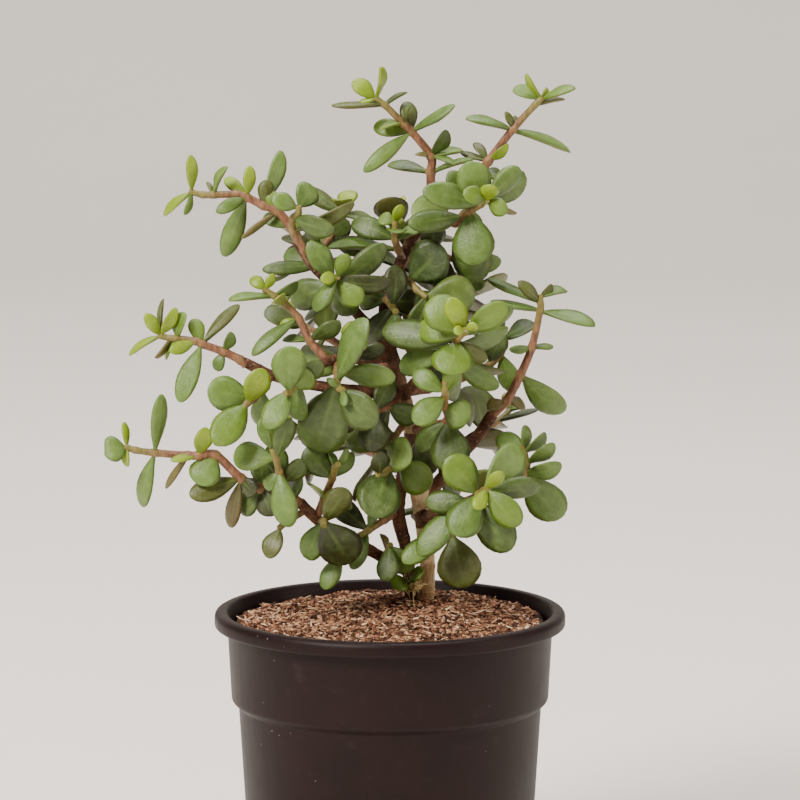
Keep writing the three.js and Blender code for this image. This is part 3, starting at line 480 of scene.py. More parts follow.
flakes = kept("flakes", [flake(s, 1.0, 0.55, 0.28) for s in range(8)])
crumbs = kept("crumbs", [flake(20 + s, 1.0, 0.85, 0.7) for s in range(5)])
strands = kept("strands", [fibre(40 + s, 1.0, 0.25) for s in range(8)])
for name, shapes, material, density, seed, least, most, tilt in [
        ("mix_crumbs", crumbs, chip, 6.5e5, 3, 0.0006, 0.0017, 0.8),
        ("mix_chips", flakes, chip, 4.4e5, 11, 0.0012, 0.0042, 0.55),
        ("mix_fibres", strands, straw, 1.1e5, 23, 0.003, 0.0085, 0.25),
        ("mix_grit", crumbs, grit, 0.12e5, 31, 0.0008, 0.0017, 0.8)]:
    layer = grown(name, bed_top, scatter, Shapes=shapes, PerSquareMetre=density, Seed=seed,
                  Least=(least,) * 3, Most=(most,) * 3, Tilt=tilt, Material=material.material)
    settled(shown(name, layer), "soil", "soil")

# ---- Trunk ----------------------------------------------------------------------------------------
# Two woody stems go into the mix side by side and part into boughs. The old one is smooth grey-tan
# bark, ringed where leaf pairs once stood, and the one on its left and the boughs are browner.
# A bough is a list of points: x, y, z and the radius there, in millimetres.
WOOD = {
    "main": [(13, 18, 104, 3.2), (13, 18, 112, 3.2), (14, 14, 130, 3.0), (12, 9, 149, 3.5),
             (10, 5, 167, 4.0), (8, 2, 182, 3.4), (5, 0, 195, 2.8), (1, 2, 209, 2.6), (-2, 4, 221, 2.5),
             (-1, 6, 232, 2.4), (3, 6, 242, 2.3), (8, 6, 252, 2.2), (14, 7, 261, 2.1), (15, 6, 271, 2.0)],
    "second": [(8, 20, 104, 2.6), (8, 20, 114, 2.6), (6, 14, 135, 2.7), (3, 10, 150, 2.7),
               (5, 6, 166, 2.6), (8, 2, 180, 2.2)],
    "low_left": [(7, 16, 126, 2.4), (-7, 6, 136, 2.3), (-17, -2, 143, 2.2), (-26, -10, 150, 2.2),
                 (-33, -16, 158, 2.2)],
    "right": [(12, 9, 153, 2.6), (20, 8, 164, 2.5), (32, 4, 179, 2.4), (38, 2, 188, 2.3)],
    "upper_left": [(0, 2, 212, 2.4), (-9, 0, 222, 2.3), (-20, -4, 235, 2.2), (-29, -6, 245, 2.1),
                   (-34, -8, 253, 2.0)],
    "mid_left": [(5, 0, 195, 2.4), (-11, -10, 198, 2.3), (-27, -16, 201, 2.2), (-42, -20, 205, 2.1),
                 (-54, -22, 211, 2.0)],
    "low_right": [(11, 8, 147, 2.2), (18, -6, 153, 2.1), (27, -20, 159, 1.9)],
    "centre": [(5, 0, 195, 2.2), (13, -12, 206, 2.0), (18, -20, 214, 1.8)],
    "front_left": [(1, 2, 209, 2.2), (-11, -12, 210, 2.1), (-20, -20, 211, 2.0), (-28, -29, 209, 1.9)],
    "fork_right": [(13, 7, 259, 2.0), (24, 6, 267, 1.9)],
    "fork_front": [(11, 6, 256, 2.0), (20, 1, 261, 1.8)],
}
RING_GAP = 7.5  # from one old leaf ring to the next


def along_route(points, t):
    """The point at t from 0 to 1 on the smooth curve through a route's points."""
    steps = len(points) - 1
    k = min(int(math.floor(t * steps)), steps - 1)
    u = t * steps - k
    before = points[k - 1] if k > 0 else 2 * points[0] - points[1]
    after = points[k + 2] if k + 2 <= steps else 2 * points[-1] - points[-2]
    start, end = points[k], points[k + 1]
    v0, v1 = 0.5 * (end - before), 0.5 * (after - start)
    return ((2 * start - 2 * end + v0 + v1) * u ** 3 + (-3 * start + 3 * end - 2 * v0 - v1) * u ** 2
            + v0 * u + start)


def noted(mesh, name, values, kind="FLOAT"):
    """Keeps a value for each point of a mesh on the mesh, under a name."""
    store = mesh.attributes.new(name, kind, "POINT")
    plain = values if kind in ("INT", "FLOAT") else [c for value in values for c in value]
    store.data.foreach_set("vector" if kind == "FLOAT_VECTOR" else "value", plain)


def strung(routes, apart, known):
    """A mesh of bare lines through routes of (points, radii), with stations `apart` millimetres or
    less from each other. known(route, t, place, radius) gives the girth and whatever else a station
    keeps."""
    places, edges, kept_values = [], [], []
    for which, (points, radii) in enumerate(routes):
        first = len(places)
        for k in range(len(points) - 1):
            parts = max(1, math.ceil(np.linalg.norm(points[k + 1] - points[k]) / apart))
            for i in range(parts + (k == len(points) - 2)):
                t = (k + i / parts) / (len(points) - 1)
                radius = radii[k] + (radii[k + 1] - radii[k]) * i / parts
                place = along_route(points, t)
                places.append(place)
                kept_values.append(known(which, t, place, radius))
        edges += [(i, i + 1) for i in range(first, len(places) - 1)]
    mesh = bpy.data.meshes.new("lines")
    mesh.from_pydata([tuple(p * MM) for p in places], edges, [])
    for name in kept_values[0]:
        noted(mesh, name, [v[name] for v in kept_values])
    return mesh


def own_value(graph, name, kind):
    """What the points of a tree's base mesh keep under a name."""
    return graph.add("GeometryNodeInputNamedAttribute", {0: name}, data_type=kind)


tube, given = tree_with("tube", Sides="Int", Material="Material")
lines = tube.add("GeometryNodeMeshToCurve", {0: given["Geometry"]})
ring = tube.add("GeometryNodeCurvePrimitiveCircle", {"Resolution": given["Sides"], "Radius": MM})
skin = tube.add("GeometryNodeCurveToMesh", {
    "Curve": lines, "Profile Curve": ring, "Scale": own_value(tube, "girth", "FLOAT"), "Fill Caps": True})
skin = tube.add("GeometryNodeSetShadeSmooth", {0: skin})
tube = ended(tube, skin, given["Material"])

wood_rng = np.random.default_rng(7)
swell = wood_rng.uniform(0, 6.3, (len(WOOD), 3))  # where each bough's rings and waves start
wood_points = [[np.array(p[:3], float) for p in route] for route in WOOD.values()]
wood_radii = [[p[3] for p in route] for route in WOOD.values()]
wood_lengths = [sum(np.linalg.norm(b - a) for a, b in zip(points, points[1:])) for points in wood_points]


def near_ring(which, gone):
    """From 0 midway between two rings of a bough to 1 at a ring."""
    return abs((gone + swell[which][0]) % RING_GAP - 0.5 * RING_GAP) / (0.5 * RING_GAP)


def wood_station(which, t, place, radius):
    """A bough's girth at a station: it swells at its rings and waves a little between them."""
    gone = t * wood_lengths[which]
    knob = max(0.0, (near_ring(which, gone) - 0.72) / 0.28) ** 2
    wave = 0.035 * math.sin(0.45 * gone + swell[which][1]) + 0.03 * math.sin(0.17 * gone + swell[which][2])
    return {"girth": radius * (1 + 0.12 * knob + wave) - 0.12}


def limited(share):
    """A share kept between 0 and 1."""
    return max(0.0, min(1.0, share))


bark = Finish("jade_bark", Roughness=0.78, Specular_IOR_Level=0.3)
wood_lines = strung(list(zip(wood_points, wood_radii)), 1.2, wood_station)
rough_mesh = grown("rough_trunk", wood_lines, tube, Sides=20, Material=bark.material)

# The stems are grown into one piece of wood, and their crotches fill.
trunk_mesh = remade("woody_trunk", rough_mesh,
                    ("REMESH", {"mode": "VOXEL", "voxel_size": 0.00045}, {}),
                    ("CORRECTIVE_SMOOTH", {"iterations": 6, "use_only_smooth": True}, {}))
trunk_mesh.shade_smooth()

# Each point of the bark knows how grey its bough is there and how near a ring it stands.
GREYNESS = {"main": 1.0, "second": 0.15}
OTHER_GREYNESS = 0.3
GREY_END, GREY_FADE = 215, 45  # the height where no bark is grey, and how far below it the grey fades
BARK_STATIONS = 160  # on each bough
stations = kdtree.KDTree(BARK_STATIONS * len(WOOD))
known = []
for which, name in enumerate(WOOD):
    for t in np.linspace(0, 1, BARK_STATIONS):
        place = along_route(wood_points[which], t)
        stations.insert(place * MM, len(known))
        known.append((GREYNESS.get(name, OTHER_GREYNESS) * limited((GREY_END - place[2]) / GREY_FADE),
                      max(0.0, (near_ring(which, t * wood_lengths[which]) - 0.8) / 0.2)))
stations.balance()
nearest = [known[stations.find(v.co)[1]] for v in trunk_mesh.vertices]
for name, values in zip(("grey", "ringed"), zip(*nearest)):
    noted(trunk_mesh, name, values)

grey, ringed = bark.known("grey"), bark.known("ringed")
upright = bark.stretched(1, 1, 0.22)
fissures = bark.noise(0.0011, 5, place=upright)
patches = bark.noise(0.006, 4)
flecks = bark.noise(0.0009, 2)
young = bark.mix(patches.rise(0.35, 0.65), "43281a", "66422c")
old = bark.mix(patches.rise(0.3, 0.7), "a88d64", "dac39c")
skin_tone = bark.mix((grey + 0.35 * (patches - 0.5)).rise(0.25, 0.8), young, old)
skin_tone = bark.mix(fissures.rise(0.52, 0.72) * 0.6, skin_tone, "2c1b10")
skin_tone = bark.mix(ringed * 0.45, skin_tone, "6b4a33")
bark.feed(
    Base_Color=bark.mix(flecks.rise(0.6, 0.75) * 0.5, skin_tone, "b89f84"),
    Normal=bark.bump(fissures + 0.5 * flecks - 0.6 * ringed, 0.0006),
)
trunk_mesh.materials.clear()
settled(shown("woody_trunk", trunk_mesh, bark.material), "bark", "trunk")

# A dried shoot at the trunk's foot: a shrunken cream stub in a tuft of curled papery threads. The
# stub starts in the wood, at its heel, and ends just past its crest.
STUB = np.array([9.6, 10.4, 121.6])
STUB_HEEL = np.array([12.2, 15.6, 122.0])
STUB_CREST = STUB + np.array([-0.8, -1.2, 2.0])
STUB_END = STUB_CREST + np.array([-0.2, -0.6, 1.2])
STUB_RADII = (1.0, 1.9, 1.5, 0.5)
THREADS = 26
THREAD_RADII = (0.34, 0.3, 0.22, 0.12)
husk = Finish("dried_husk", Roughness=0.85, Specular_IOR_Level=0.25)
faded = husk.noise(0.0016, 4)
husk.feed(
    Base_Color=husk.ramp(faded, (0.3, "7c6d3c"), (0.5, "c2b27a"), (0.7, "e6dcb0")),
    Normal=husk.bump(faded, 0.0003),
)
threads = []
for _ in range(THREADS):
    way = np.array([wood_rng.normal(0, 1), -0.5 - wood_rng.random(), wood_rng.normal(0.2, 1)])
    way /= np.linalg.norm(way)
    curl = wood_rng.normal(0, 0.45, 3)
    reach = wood_rng.uniform(2.6, 5.5)
    route = [STUB + wood_rng.normal(0, 0.9, 3) + reach * (t * way + t * t * curl) for t in (0, 0.35, 0.7, 1)]
    threads.append((route, THREAD_RADII))
threads.append(([STUB_HEEL, STUB, STUB_CREST, STUB_END], STUB_RADII))
tuft_lines = strung(threads, 0.7, lambda which, t, place, radius: {"girth": radius})
tuft = grown("dried_shoot", tuft_lines, tube, Sides=6, Material=husk.material)
settled(shown("dried_shoot", tuft), "bark", "trunk")

# ---- Sprays ---------------------------------------------------------------------------------------
# Each bough carries young shoots, jointed, red-brown below and green at the tip. Round fleshy leaves
# sit in pairs at the joints, grey-green with a faint bloom and a thin red-brown edge, and the small
# ones at the tips are bright yellow-green.

# A habit is how the pairs stand: the way the shoot turns them, how wide they open by joints back
# from the tip, how far they lean to the light, and a leaf's width for its length.
FRONT, UP = np.array([0.0, -1, 0]), np.array([0.0, 0, 1])
SIDE = (FRONT, (42, 56, 64, 70), 0.26, 0.72)
SLANT = (FRONT, (42, 56, 64, 70), 0.42, 0.78)
SHADE = (FRONT, (46, 60, 68, 72), 0.55, 0.84)
ROSETTE = (UP, (62, 76, 84, 88), 0.5, 0.85)
# A shoot is a route of joints: x, y, z in millimetres, then what grows there. A pair is its roll, the
# lengths of its two leaves, and how wide they open where that isn't usual. A leaf set singly is the
# x, y, z of its tip, its width, how far it is turned from facing the viewer, and its look.
SPRAYS = [
    ("top_left", SIDE, [
        [(15, 6, 270, (2, 2, 264, 9, 20, "d")),
         (15, 5, 277, (-1, 10, 280, 6, 50, "d"), (30, 0, 283, 5, -78, "g")),
         (15, 4, 283, (21, 0, 292, 7, 40, "d"), (27, 5, 285, 6, -72, "p"), (10, 0, 284, 2, 20, "r"),
          (24, 0, 280, 5, -70, "p")),
         (8, 2, 292, (6, 6, 303, 7, 20, "o"), (23, -5, 303, 7, -65, "g"), (-6, 5, 294, 7, 15, "b"),
          (-9, -7, 279, 6, 10, "p")), (5, 1, 295, 20, 9, 9),
         (-2, 0, 302, (6, 4, 307, 5, -78, "d"), (-21, -6, 303, 7, 80, "o")),
         (-5, 0, 304, (-2, -5, 316, 6, 72, "y"), (-15, 1, 308, 7, 30, "y"), (-10, -1, 300, 4, 60, "y"))]]),
    ("top_right", SIDE, [
        [(23, 6, 266), (28, 6, 271, 80, 12, 12), (33, 5, 277, -10, 10, 10),
         (36, 4, 281, (31, 8, 288, 4, 30, "o"), (43, 0, 287, 4, 20, "y"), (25, 8, 284, 4, 60, "o")),
         (45, 2, 293, (28, -3, 298, 6, 62, "g"), (67, 11, 285, 7, -70, "p"), (43, -1, 299, 3, 20, "o"),
          (47, 5, 298, 3, 20, "o")), (53, 0, 302, (64, 4, 304, 5, -80, "o")),
         (55, 0, 304, (49, -4, 313, 4, -60, "y"), (45, 2, 308, 6, 35, "p"), (67, -4, 309, 6, -62, "b"),
          (58, 3, 308, 3, 30, "y"))]]),
    ("crown_front", ROSETTE, [
        [(19, 2, 260, 90, 18, 18), (24, -3, 259, -3, 18, 12),
         (27, -8, 262, (7, -19, 260, 9, 20, "d"), (32, -1, 238, 15, 5, "d")),
         (29, -12, 264, (28, -17, 245, 16, 10, "g"), (22, -16, 279, 9, 20, "d")),
         (33, -16, 267, (29, -24, 282, 13, 5, "p"), (50, -9, 277, 11, 20, "g"),
          (12, -24, 273, 10, 15, "g")),
         (35, -19, 269, (46, -16, 281, 9, 20, "g"), (42, -24, 265, 7, 15, "b"),
          (46, -15, 262, 3, 30, "r")),
         (35, -21, 269, (27, -26, 272, 7, 15, "b"), (41, -25, 275, 7, 15, "y"))]]),
    ("upper_left", SLANT, [
        [(-33, -8, 252, 0, 16, 16), (-36, -8, 258, (-46, -6, 262, 6, 20, "g")),
         (-41, -9, 264, (-53, -16, 254, 4, -60, "r"), (-43, -10, 271, 6, 10, "b")),
         (-46, -9, 266, (-39, 2, 285, 7, 25, "p"), (-44, -15, 273, 6, 10, "o")),
         (-52, -9, 269, (-50, -12, 280, 5, 20, "y"), (-60, -5, 276, 5, 20, "y"),
          (-62, -16, 265, 5, 15, "g"), (-61, -1, 246, 8, 5, "p")), (-56, -9, 270),
         (-64, -10, 270, (-60, -14, 281, 4, -60, "p"), (-66, -9, 275, 2, 20, "o")), (-68, -10, 270),
         (-72, -10, 271, (-71, -15, 284, 5, 30, "y"), (-84, -5, 263, 5, 45, "y"),
          (-73, -13, 263, 4, -50, "p"))]]),
    ("upper_left_near", SHADE, [
        [(-29, -7, 245), (-31, -12, 250), (-35, -14, 257, (-13, -23, 267, 6, 30, "o")),
         (-35, -16, 262, (-18, -20, 260, 9, 15, "d")), (-33, -18, 264),
         (-33, -19, 266, (-28, -15, 274, 10, 15, "g"), (-42, -23, 270, 7, 20, "p"))]]),
    ("upper_left_front", ROSETTE, [
        [(-20, -5, 235),
         (-20, -12, 237, (-37, -4, 231, 12, 10, "d"), (-1, -16, 251, 10, 20, "d"),
          (-14, -6, 225, 11, 20, "d")),
         (-20, -17, 240, (-27, -21, 255, 9, 15, "g"), (-10, -21, 232, 11, 10, "b"),
          (0, -24, 239, 9, 30, "k")),
         (-19, -20, 241, (-24, -24, 241, 5, 10, "y"), (-14, -26, 249, 6, 15, "b"),
          (-32, -14, 237, 8, 30, "g"))]]),
    ("upper_left_back", SHADE, [
        [(-22, -4, 237, 0, 18, 18), (-24, 0, 243, (-39, 7, 247, 8, 20, "g"), (-46, -5, 239, 6, 30, "d")),
         (-25, 3, 248, (-39, -2, 254, 5, 40, "o"), (-31, 4, 255, 6, 20, "d")),
         (-22, 4, 253, (-15, 5, 259, 8, 10, "d"), (-7, 8, 247, 9, 20, "k")), (-17, 7, 261, 0, 12, 17, 75),
         (-17, 7, 263, 90, 9, 9)]]),
    ("crown_left", SHADE, [
        [(5, 6, 245, 90, 17, 17), (3, 0, 249, (-22, 6, 251, 6, 60, "g")),
         (2, -3, 253, (11, -7, 258, 5, -50, "g"), (-14, 0, 260, 9, 20, "d")), (2, -4, 256, 90, 10, 10),
         (2, -4, 259, (4, -8, 266, 5, 20, "y"), (-4, -1, 261, 6, 30, "b")),
         (2, -4, 261, (-2, -3, 253, 3, 30, "y"))]]),
    ("twig_left", SIDE, [
        [(-22, -22, 210), (-29, -20, 218, (-39, -17, 218, 4, 50, "g"), (-18, -26, 225, 8, 30, "d")),
         (-33, -19, 226, (-50, -27, 215, 6, 35, "g"), (-40, -18, 223, 3, 30, "y")),
         (-38, -18, 231, 90, 9, 9),
         (-42, -18, 234, (-58, -24, 234, 6, 70, "p"), (-33, -14, 238, 5, 30, "g")),
         (-45, -18, 236, (-50, -17, 241, 5, 20, "y"), (-42, -19, 242, 4, 20, "y"))]]),
    ("mid_left", SLANT, [
        [(-52, -22, 209),
         (-54, -22, 211, (-52, -19, 221, 6, 20, "p"), (-68, -27, 209, 5, 60, "g"),
          (-46, -19, 219, 3, -50, "r")),
         (-60, -22, 214, (-57, -24, 221, 5, 30, "g"), (-63, -22, 207, 5, 20, "g")),
         (-68, -23, 217, (-71, -20, 226, 6, 10, "b"), (-76, -31, 197, 8, 10, "p"),
          (-55, -15, 231, 6, -40, "o")), (-70, -23, 218, (-79, -29, 215, 5, 10, "y")),
         (-77, -23, 219, 0, 10, 9), (-79, -23, 219, (-84, -27, 212, 4, -65, "r")),
         (-83, -23, 220, (-96, -18, 214, 5, 60, "y"), (-87, -28, 228, 5, 20, "y"),
          (-83, -17, 233, 4, -65, "o"), (-77, -26, 230, 5, 20, "y"))]]),
    ("lower_left", SLANT, [
        [(-32, -15, 157, 90, 16, 16), (-35, -17, 159, 0, 14, 14, 60),
         (-40, -19, 161, (-38, -20, 152, 7, 20, "d")),
         (-47, -22, 164, (-55, -18, 154, 9, 20, "d"), (-42, -26, 155, 9, 15, "k"),
          (-47, -16, 174, 9, 20, "d")),
         (-54, -24, 168, (-72, -32, 163, 9, 25, "o"), (-59, -19, 148, 6, 10, "r"),
          (-49, -28, 163, 8, 20, "k")), (-63, -27, 177, (-69, -32, 167, 12, 10, "p")),
         (-69, -28, 177, (-66, -34, 188, 7, 15, "y"), (-79, -32, 176, 4, 50, "y")),
         (-73, -28, 177, (-82, -22, 164, 4, 55, "r")),
         (-85, -28, 178, (-82, -34, 200, 7, 35, "p"), (-92, -20, 156, 7, 25, "p")), (-92, -28, 179),
         (-95, -28, 180, (-103, -32, 179, 10, 20, "p"), (-96, -25, 189, 4, 45, "y"),
          (-95, -29, 173, 4, 45, "y"))],
        [(-40, -19, 161), (-39, -27, 167, (-42, -23, 181, 9, 20, "g"), (-31, -27, 175, 9, 30, "d")),
         (-40, -32, 172, (-37, -36, 152, 10, 10, "p"), (-45, -30, 165, 6, 20, "g")),
         (-41, -35, 177, (-57, -31, 177, 11, 20, "p"), (-36, -40, 192, 9, 20, "d")),
         (-42, -36, 180, (-44, -42, 191, 7, 20, "g"))]]),
    ("right", SIDE, [
        [(37, 2, 187), (39, 2, 189, 90, 12, 10),
         (43, 1, 193, (36, -3, 191, 6, 45, "r"), (51, 5, 191, 6, -45, "r")),
         (48, -1, 203, (61, 7, 184, 11, 15, "p")),
         (52, -2, 213, (44, -5, 213, 6, 66, "g"), (60, 2, 214, 5, -66, "g")),
         (55, -4, 227, (37, -1, 231, 6, 70, "g"), (75, -10, 223, 7, -50, "g")),
         (55, -4, 230, (48, -9, 238, 5, 20, "o"), (36, 2, 239, 6, 62, "g")),
         (55, -4, 232, (65, 0, 235, 5, -55, "g"), (56, -6, 238, 4, 30, "o"))]]),
    ("centre_front", ROSETTE, [
        [(17, -19, 213),
         (21, -25, 215, (3, -17, 207, 10, 20, "g"), (39, -21, 200, 9, 20, "g"),
          (45, -11, 219, 9, 30, "g")),
         (24, -29, 219, (22, -38, 208, 16, 5, "b"), (-3, -23, 222, 12, 20, "d"),
          (34, -31, 211, 8, 25, "o")),
         (25, -33, 221, (9, -26, 224, 10, 15, "b"), (44, -38, 232, 9, 20, "g")),
         (27, -36, 223, (42, -40, 233, 10, 10, "b"), (17, -30, 236, 14, 8, "b"),
          (22, -43, 235, 8, 5, "y")),
         (27, -39, 224, (23, -41, 224, 4, 20, "y"), (31, -42, 226, 4, 20, "y"))]]),
    ("lower_right", ROSETTE, [
        [(25, -18, 158), (27, -22, 159, (7, -13, 146, 11, 20, "g"), (18, -18, 170, 11, 20, "p")),
         (29, -25, 160, (44, -31, 143, 15, 15, "d"), (15, -17, 157, 9, 20, "d")),
         (32, -29, 163, (21, -33, 177, 13, 10, "b"), (24, -36, 149, 14, 10, "g")),
         (34, -33, 165, (55, -28, 165, 10, 25, "d"), (48, -24, 180, 14, 15, "p")),
         (35, -36, 166, (46, -40, 153, 11, 10, "b"), (40, -41, 173, 6, 20, "y"),
          (31, -42, 160, 6, 10, "y"))]]),
    ("mid_left_front", ROSETTE, [
        [(-27, -28, 209, 0, 16, 16),
         (-33, -35, 206, (-33, -29, 189, 9, 20, "g"), (-24, -37, 212, 9, 30, "d")),
         (-35, -39, 203, (-44, -47, 190, 10, 20, "p"), (-28, -39, 209, 10, 15, "b")),
         (-36, -42, 202, (-36, -46, 219, 13, 5, "p")), (-37, -44, 202)]]),
    ("mid_left_side", SHADE, [
        [(-43, -20, 205), (-46, -26, 201, (-46, -20, 184, 10, 20, "p")),
         (-49, -30, 198, (-65, -37, 202, 13, 15, "p")),
         (-51, -33, 197, (-63, -42, 182, 12, 10, "b"), (-45, -40, 210, 10, 15, "y")), (-53, -34, 195),
         (-56, -34, 193)]]),
    ("centre_left", ROSETTE, [
        [(-19, -19, 211, 90, 17, 17),
         (-19, -25, 207, (-25, -16, 225, 12, 15, "g"), (2, -31, 206, 10, 20, "p")),
         (-19, -30, 204, (-9, -39, 228, 12, -40, "g"), (-22, -23, 175, 19, 10, "d")),
         (-18, -33, 202, (-22, -34, 206, 3, 20, "g"), (-5, -39, 190, 14, 15, "d")),
         (-17, -35, 202, (-16, -40, 197, 4, 30, "g"))]]),
    ("bough_left_up", SHADE, [
        [(-15, -13, 208, 0, 17, 17),
         (-14, -19, 211, (-17, -15, 224, 9, 20, "d"), (-2, -21, 216, 7, 20, "k")),
         (-14, -22, 215, 90, 13, 10, 40)]]),
    ("centre_low", ROSETTE, [
        [(8, 2, 182), (15, -8, 185, (0, 0, 174, 12, 10, "k")),
         (21, -15, 188, (23, -21, 170, 15, 5, "d"), (10, -10, 176, 9, 10, "d")),
         (20, -20, 194, (28, -24, 189, 13, 15, "p")),
         (20, -24, 198, (9, -30, 190, 10, 15, "p"), (35, -16, 199, 11, 20, "g")),
         (20, -27, 200, (10, -26, 209, 8, 10, "p"), (24, -33, 209, 7, 10, "b")),
         (20, -29, 204, (29, -34, 213, 7, 30, "o"), (18, -25, 214, 9, 20, "d"))]]),
    ("lower_right_side", SHADE, [
        [(23, -14, 156, 0, 17, 17), (33, -13, 160, 90, 18, 16),
         (42, -13, 164, (40, -16, 148, 11, 20, "d")),
         (49, -14, 168, (63, -7, 150, 15, 12, "g"), (62, -20, 172, 8, 25, "g")),
         (50, -15, 172, (60, -20, 180, 7, 30, "g"), (40, -7, 183, 9, 15, "p")),
         (49, -15, 176, (50, -12, 186, 5, 30, "g"), (57, -17, 183, 6, 40, "g")), (48, -15, 178)]]),
    ("lower_under", ROSETTE, [
        [(13, 9, 147), (16, -1, 148, (7, 3, 156, 10, 10, "k")),
         (20, -8, 146, (5, -14, 135, 9, 20, "p"), (12, -6, 139, 7, 30, "g")),
         (23, -12, 145, (27, -16, 126, 17, 10, "o"))]]),
    ("low_left_rosette", ROSETTE, [
        [(-26, -10, 150), (-24, -16, 151, (-31, -13, 136, 10, 20, "g")),
         (-24, -19, 151, (-16, -24, 164, 11, 15, "o")), (-24, -22, 152, (-14, -17, 135, 17, 10, "k")),
         (-24, -24, 151)]]),
    ("low_left_end", ROSETTE, [
        [(-30, -13, 155), (-37, -16, 151), (-40, -18, 149, (-44, -24, 139, 8, 20, "o"))]]),
    ("low_left_twig", SHADE, [
        [(3, 10, 150), (-2, 4, 148, (-10, 6, 145, 3, 50, "r")),
         (-8, -2, 145, (-14, -9, 132, 7, 30, "g"), (-5, 2, 156, 5, 20, "g"), (-22, 3, 156, 9, 20, "k")),
         (-11, -6, 144)]]),
    ("low_left_drop", SHADE, [
        [(-16, -1, 141), (-17, -3, 138), (-18, -5, 137, (-22, -11, 124, 8, 20, "p"))]]),
    ("low_left_near", SHADE, [
        [(-3, 9, 133), (-1, 3, 136, (-3, 6, 143, 3, 40, "r")),
         (0, 0, 139, (-1, -7, 127, 9, 15, "d"), (8, 1, 129, 10, 15, "g"))]]),
    ("low_left_up", ROSETTE, [
        [(-27, -11, 151), (-24, -13, 159, 0, 14, 14),
         (-21, -18, 167, (-29, -24, 178, 11, 15, "d"), (-13, -15, 176, 6, 30, "g")),
         (-20, -22, 171, (-22, -18, 178, 4, 40, "g"), (-16, -24, 179, 4, 40, "g")), (-19, -25, 173)]]),
    ("inner_left", ROSETTE, [
        [(5, 1, 194, 90, 18, 18), (-1, -8, 192, (4, -4, 181, 10, 10, "d"), (-15, -9, 195, 11, 20, "k")),
         (-6, -14, 191, (-6, -22, 178, 12, 15, "k"), (1, -7, 203, 9, 20, "d")),
         (-8, -19, 191, (-18, -10, 180, 12, 20, "k")), (-10, -22, 192)]]),
    ("inner_low", ROSETTE, [
        [(9, 4, 172, 90, 18, 18), (3, -5, 171, (11, -1, 159, 14, 10, "b"), (4, -5, 183, 9, 20, "k")),
         (0, -12, 170, (-10, -22, 155, 17, 10, "d")), (-2, -17, 169, (-14, -9, 164, 11, 20, "d")),
         (-4, -20, 169, (-5, -22, 179, 8, 20, "k"))]]),
    ("inner_crown", ROSETTE, [
        [(-1, 6, 231, 90, 19, 19), (-1, -4, 231, (-15, 0, 226, 12, 15, "d"), (12, 0, 230, 10, 10, "k")),
         (1, -10, 229, (3, -12, 244, 10, 20, "k"), (-10, -3, 217, 9, 20, "k")),
         (2, -14, 228, (3, -11, 215, 10, 20, "d"))]]),
    ("inner_middle", ROSETTE, [
        [(7, 0, 212, 0, 18, 18), (9, -8, 215, (15, -1, 202, 10, 10, "k")),
         (10, -13, 217, (11, -18, 236, 9, 15, "d"))]]),
    ("inner_dark", SHADE, [
        [(5, 3, 184, 90, 18, 18), (2, -6, 181, 0, 20, 20), (-1, -12, 178, 90, 19, 18)]]),
    ("crown_right", SHADE, [
        [(7, 6, 249, 0, 18, 18), (15, 2, 248, (13, 4, 237, 12, 10, "k"), (18, -1, 258, 10, 15, "k")),
         (21, 0, 246, (40, -5, 243, 9, 20, "g"), (20, 5, 234, 10, 15, "k")),
         (26, -2, 245, (38, 5, 251, 8, 30, "g"), (30, -6, 232, 9, 20, "d"))]]),
    ("crown_under", SHADE, [
        [(3, 5, 240), (7, -4, 238, 0, 20, 19), (10, -8, 235, 90, 19, 18), (13, -10, 233, 0, 18, 18, 60)]]),
    ("centre_right", SHADE, [
        [(5, 0, 196, 0, 18, 18), (14, 4, 197, (15, 11, 211, 10, 10, "k")), (22, 6, 199, 0, 18, 16),
         (30, 6, 202, 90, 19, 17), (37, 6, 206, (40, 0, 219, 9, 15, "d")),
         (41, 6, 210, (46, 9, 195, 9, 20, "p")), (42, 6, 215, 0, 13, 15)]]),
    ("foot_bud", SHADE, [
        [(9, 18, 121), (8, 14, 122), (7, 11, 124, 20, 9, 9)]]),
    ("back_high", SHADE, [
        [(1, 6, 237), (4, 14, 241, 0, 20, 20), (7, 20, 246, 90, 20, 19), (6, 25, 251, 0, 20, 19),
         (4, 28, 255, 90, 16, 16), (2, 30, 259, 0, 8, 8)]]),
    ("back_left_high", SHADE, [
        [(-13, -1, 227), (-19, 10, 233, 0, 19, 18), (-24, 17, 239, 90, 19, 19), (-28, 23, 244, 0, 19, 19),
         (-32, 28, 249, 90, 16, 16), (-35, 32, 252, 0, 8, 8)]]),
    ("back_left", SHADE, [
        [(2, 2, 204), (-5, 12, 206, 0, 18, 19), (-15, 22, 209, 90, 20, 19), (-24, 31, 213, 0, 20, 19),
         (-32, 38, 216, 90, 17, 17), (-37, 43, 219, 0, 8, 8)]]),
    ("back_right", SHADE, [
        [(0, 3, 213), (8, 14, 215, 0, 19, 18), (17, 24, 219, 90, 20, 19), (25, 33, 223, 0, 19, 19),
         (30, 40, 227, 90, 17, 16), (33, 44, 230, 0, 8, 8)]]),
    ("back_right_low", SHADE, [
        [(10, 5, 166), (18, 17, 169, 0, 20, 18), (26, 28, 173, 90, 20, 20), (35, 38, 176, 0, 19, 19),
         (41, 46, 179, 90, 16, 16), (45, 51, 182, 0, 8, 8)]]),
    ("back_left_low", SHADE, [
        [(5, 6, 167), (-4, 18, 170, 0, 19, 20), (-14, 29, 172, 90, 20, 19), (-24, 39, 173, 0, 19, 19),
         (-33, 47, 175, 90, 17, 16), (-38, 52, 177, 0, 8, 8)]]),
    ("back_low", SHADE, [
        [(12, 10, 147), (13, 24, 149, 0, 19, 18), (11, 36, 153, 90, 20, 19), (8, 46, 156, 0, 18, 17),
